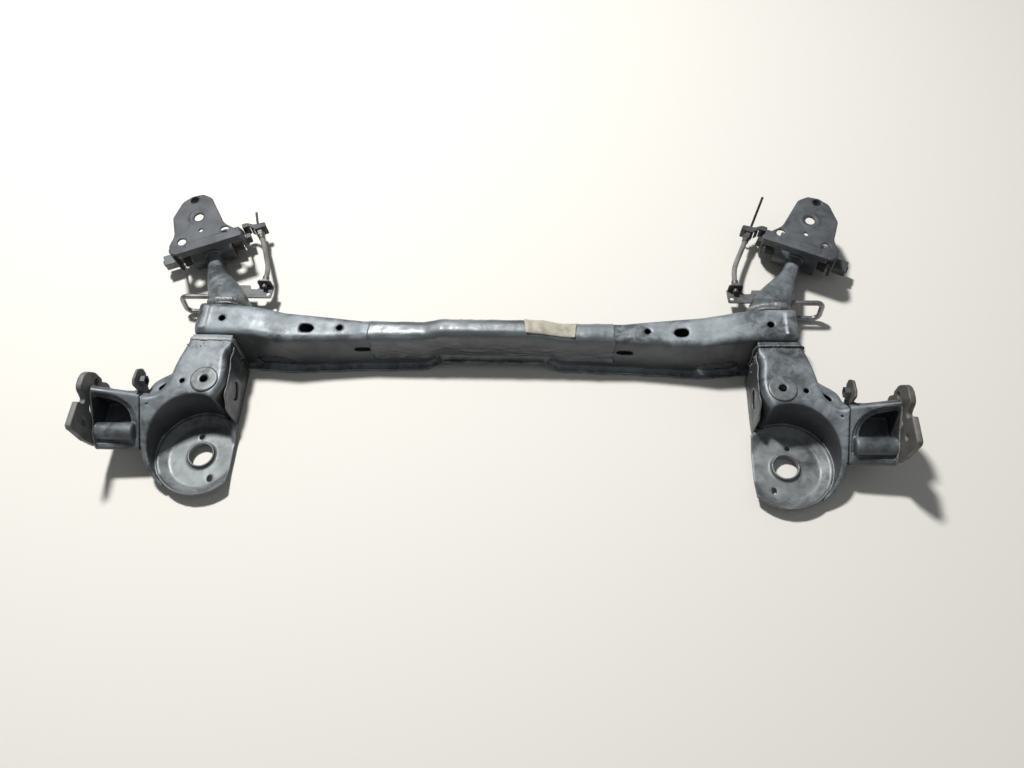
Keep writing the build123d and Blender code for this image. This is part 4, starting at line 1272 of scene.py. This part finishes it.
@dataclass
class TrailingArm:
    """One side's arms, spring seat, hub carrier and their welds.

    Lengths are millimetres, but for eye_half and loop_weld, in metres. loop_ends holds Z and Y of both
    ends of the cable loop. wall is X of the rear arm's inner wall in the solid. The fold values say where
    it is folded over: above foot, in front of rear, in full after rise and run, and by most at the most.
    """

    nodes: dict[str, bpy.types.Object]
    finishes: Finishes
    bead: WeldBead
    drops: WeldDrops
    side: Side
    seat: Point = (521.0, -231.0, 22.5)
    seat_radius: float = 81.0
    bush: BushAxis = BushAxis()
    eye_half: float = 0.0275
    hub: Point = (690.5, -195.0, 92.0)
    loop_ends: tuple[tuple[float, float], ...] = ((54.0, 88.0), (9.0, 83.0))
    loop_weld: float = 0.0056
    wall: float = 474.0
    fold_foot: float = 20.0
    fold_rise: float = 14.0
    fold_rear: float = -152.0
    fold_run: float = 30.0
    fold_most: float = 18.0

    FINISH = {
        "front_arm": "arm_paint", "rear_arm_upper": "arm_paint", "rear_arm_lower": "arm_paint",
        "spring_seat": "seat_paint", "bump_pad": "seat_paint", "hub_bracket": "hub_paint",
        "hub_plate": "tan_plate", "damper_ear": "tan_plate", "damper_weld_nut": "bolt_zinc",
        "cable_loop": "loop_zinc", "beam_end_cap": "arm_paint", "bush_eye": "arm_paint",
        "bush_shell": "sleeve_steel", "bush_rubber": "bush_rubber", "lower_hose_bracket": "clip_bracket",
    }
    LEFT_FINISH = {"hub_plate": "grey_plate", "damper_ear": "grey_plate"}
    PRESSED = {
        "front_arm": (2.3, 6), "rear_arm_upper": (2.1, 7), "rear_arm_lower": (1.9, 9),
        "spring_seat": (1.9, 4), "hub_bracket": (1.5, 3), "bump_pad": (1.5, 4), "hub_plate": (2.0, 3),
        "damper_ear": (1.5, 5),
    }
    JOINTS = (
        ArmJoint("front_joint_weld", (510, 50.5, 50), range(-30, 211, 5), 0.09, 3.4, 1.9, 1.0,
                 (510, 58, 50), 0.014, 24),
        ArmJoint("rear_joint_weld", (512, -36, 50), range(-20, 201, 5), 0.10, 2.8, 2.2, 1.1,
                 (512, -46, 50), 0.024, 40),
    )

    def node(self, name: str) -> bpy.types.Object:
        """This side's CAD node of a name."""
        return self.nodes[name + "_" + self.side.tag]

    def build(self) -> None:
        """Dress the side."""
        for name, finish in self.FINISH.items():
            if self.side is Side.LEFT:
                finish = self.LEFT_FINISH.get(name, finish)
            if name in self.PRESSED:
                voxel, rounds = self.PRESSED[name]
                shift = self.hug() if name == "rear_arm_lower" else None
                soft = SoftPressing(self.node(name), "axle", "axle_paint", voxel, rounds, shift=shift)
                soft.build(self.finishes[finish])
            else:
                self.finishes.paint_node(self.node(name), finish)
        self.welds()

    def hug(self) -> Callable[[Vector], Vector]:
        """Fold the rear arm's inner wall over against the upper pressing.

        Returns:
            A function that gives the shift of a point, both in metres.
        """
        upper = Tracer([self.node("rear_arm_upper")])
        sx = self.side.value
        still = Vector((0, 0, 0))

        def move(point: Vector) -> Vector:
            """The shift of one point.

            Args:
                point: the point in metres.

            Returns:
                The shift in metres.
            """
            x, y, z = point / MM
            if x * sx > self.wall + 2 or z < self.fold_foot or y < self.fold_rear:
                return still
            for step in range(0, 40, 4):
                start = Vector((sx * (self.wall - 12), y, max(z - step, 12.0))) * MM
                found = upper.hit(start, Vector((sx, 0, 0)), 0.06)
                if found:
                    gap = min(self.fold_most, abs(found[0].x) / MM - self.wall - 0.5)
                    share = min(1.0, max(0.0, (y - self.fold_rear) / self.fold_run))
                    share *= min(1.0, (z - self.fold_foot) / self.fold_rise)
                    return Vector((sx * max(0.0, gap) * share * MM, 0, 0))
            return still

        return move

    def seam(self, name: str, points: Sequence[Vector], radius: float, closed: bool = False,
             width: float = 1.0, lumps: float = 0.3) -> None:
        """Lay one seam on this side, if it was found.

        Args:
            name: the seam's name without its side.
            points: where it runs, in metres.
            radius: the bead's radius in millimetres.
            closed: whether it runs back into its start.
            width: how many times wider than high it is.
            lumps: the height of its lumps, in millimetres.
        """
        if len(points) < 4:
            LOG.warning("no seam for %s", name)
            return
        self.bead.lay(f"{name}_{self.side.tag}", points, "axle", radius, closed, wander=0.5 * radius,
                      width=width, lumps=lumps)

    def welds(self) -> None:
        """Trace the joints of the pressings and lay their beads."""
        sx = float(self.side.value)
        along, ahead, over = Vector((sx, 0, 0)), Vector((0, 1, 0)), Vector((0, 0, 1))
        front = Tracer([self.node("front_arm")])
        rear = Tracer([self.node("rear_arm_upper"), self.node("rear_arm_lower")])
        place = self.side.place
        for arm, joint in zip((front, rear), self.JOINTS):
            points = arm.loop(place(joint.centre), along, over, joint.look, joint.reach)
            self.seam(joint.name, points, joint.radius, width=joint.width, lumps=joint.lumps)
        for arm, joint in zip((front, rear), self.JOINTS):
            self.spatter(arm, place(joint.drops_at), joint.spread, joint.count)
        out, fore = self.bush.ways(sx)
        eye = place(self.bush.at) - fore * self.eye_half
        self.seam("eye_weld", front.loop(eye, out, over, range(0, 360, 12), 0.05), 2.2, True)
        arc = []
        for degrees in range(-46, 118, 4):
            a = math.radians(degrees)
            x = self.seat[0] + (self.seat_radius - 0.5) * math.cos(a)
            y = self.seat[1] + (self.seat_radius - 0.5) * math.sin(a)
            arc.append(place((x, y, self.seat[2])))
        self.seam("seat_weld", arc, 1.8)
        carrier = Tracer([self.node("hub_bracket")])
        points = carrier.loop(place(self.hub), ahead, over, range(0, 360, 9), 0.09)
        self.seam("hub_plate_weld", points, 2.4, True)
        for z, y in self.loop_ends:
            found = front.hit(place((640, y, z)), -along, 0.12)
            if found:
                turns = [i * math.pi / 5 for i in range(10)]
                ring = [found[0] + (ahead * math.cos(a) + over * math.sin(a)) * self.loop_weld for a in turns]
                self.seam(f"loop_weld_{int(z)}", ring, 1.6, True)

    def spatter(self, tracer: Tracer, centre: Vector, spread: float, count: int) -> None:
        """Drops of weld metal that stuck to the pressing beside a joint.

        Args:
            tracer: the surface they stick to.
            centre: the middle of the joint's plane, moved towards the drops.
            spread: how far along the arm they lie, in metres.
            count: how many drops are thrown.
        """
        dice = Random(int(abs(centre.y) * 1e4) + self.side.value)
        places: list[Vector] = []
        sizes: list[float] = []
        for _ in range(count):
            angle = math.radians(dice.uniform(-10, 190))
            out = Vector((math.cos(angle), 0, math.sin(angle)))
            start = centre + Vector((0, dice.gauss(0, 0.5) * spread, 0))
            found = tracer.hit(start + out * 0.10, -out, 0.10)
            if found:
                places.append(found[0])
                sizes.append(dice.uniform(0.5, 1.7) * MM)
        name = f"weld_drops_{int(abs(centre.y) * 1000)}_{self.side.tag}"
        self.drops.lay(name, places, sizes, "axle", "axle_paint")


@dataclass
class BodyBracket:
    """One side's bracket, bolt, nut and hose tab."""

    nodes: dict[str, bpy.types.Object]
    finishes: Finishes
    side: Side

    FINISH = {
        "body_bracket": "bracket_paint", "bracket_fork": "bracket_paint", "pivot_bolt": "bolt_zinc",
        "pivot_nut": "bolt_zinc", "bush_inner_sleeve": "sleeve_steel", "hose_tab": "bracket_paint",
        "upper_hose_fitting": "fitting_steel", "pipe_union": "fitting_steel", "brake_pipe": "pipe_coat",
        "lower_hose_fitting": "fitting_steel",
    }
    PRESSED = {"body_bracket": (1.9, 4), "bracket_fork": (2.0, 4), "hose_tab": (1.4, 4)}

    def build(self) -> None:
        """Dress the bracket."""
        for name, finish in self.FINISH.items():
            node = self.nodes[name + "_" + self.side.tag]
            if name in self.PRESSED:
                voxel, rounds = self.PRESSED[name]
                soft = SoftPressing(node, self.side.bracket, "bracket_paint", voxel, rounds, waves=0.35)
                soft.build(self.finishes[finish])
            else:
                self.finishes.paint_node(node, finish)


@dataclass
class BrakeHose:
    """One side's flexible hose, from the bracket's fitting to the arm's.

    reach_in and ferrule_end say where the upper fitting ends, along the bush's axis and behind it. lead
    and low_lead are the straight stretches at both ends, and middles the points between.
    """

    nodes: dict[str, bpy.types.Object]
    finishes: Finishes
    side: Side
    radius: float = 5.0
    bush: BushAxis = BushAxis()
    reach_in: float = -102.0
    ferrule_end: float = 17.0
    lead: float = 27.0
    top: float = 37.0
    low_end: Point = (459.5, 141.0, 46.5)
    low_lead: float = 22.0
    middles: dict[Side, Point] = field(
        default_factory=lambda: {Side.LEFT: (469.5, 189.0, 40.0), Side.RIGHT: (467.0, 189.0, 40.0)})

    def route(self) -> list[Vector]:
        """The hose's route, the same as the solid's.

        Returns:
            Its control points in metres, from the upper fitting to the lower one.
        """
        out, fore = self.bush.ways()
        start = Vector(self.bush.at) + out * self.reach_in - fore * self.ferrule_end
        start.z = self.top
        end = Vector(self.low_end)
        points = [start, start - fore * self.lead, Vector(self.middles[self.side]),
                  end + Vector((0, self.low_lead, 0)), end]
        return [self.side.place(p) for p in points]

    def build(self) -> None:
        """Make the tube that is shown in the solid's place."""
        tag = self.side.tag
        points = self.route()
        line = path_curve("hose_line", points, steps=14)
        line.data.bevel_depth = self.radius * MM
        line.data.bevel_resolution = 6
        line.data.use_fill_caps = True
        mesh = baked(line)
        mesh.materials.clear()
        mesh.materials.append(self.finishes["hose_rubber"])
        piece = linked("flexible_hose_" + tag, mesh)
        tidy_shell(piece)
        for face in mesh.polygons:
            face.use_smooth = True
        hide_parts("brake_hose_" + tag)
        self.side.bracket
        tuple(points[0])
        tuple(points[-1])
        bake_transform(piece)


def main() -> None:
    """Build the scene."""
    logging.basicConfig(level=logging.INFO, format="%(name)s: %(message)s")
    for old in list(bpy.data.objects):
        bpy.data.objects.remove(old)
    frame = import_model()
    nodes = frame["nodes"]
    Studio().build()
    finishes = Finishes()
    finishes.build()
    bead = WeldBead()
    bead.build(finishes["weld_paint"])
    drops = WeldDrops()
    drops.build(finishes["weld_paint"])
    CrossBeamDress(nodes, finishes).build()
    for side in Side:
        TrailingArm(nodes, finishes, bead, drops, side).build()
        BodyBracket(nodes, finishes, side).build()
        BrakeHose(nodes, finishes, side).build()
    bpy.context.view_layer.update()


if __name__ == "__main__":
    main()
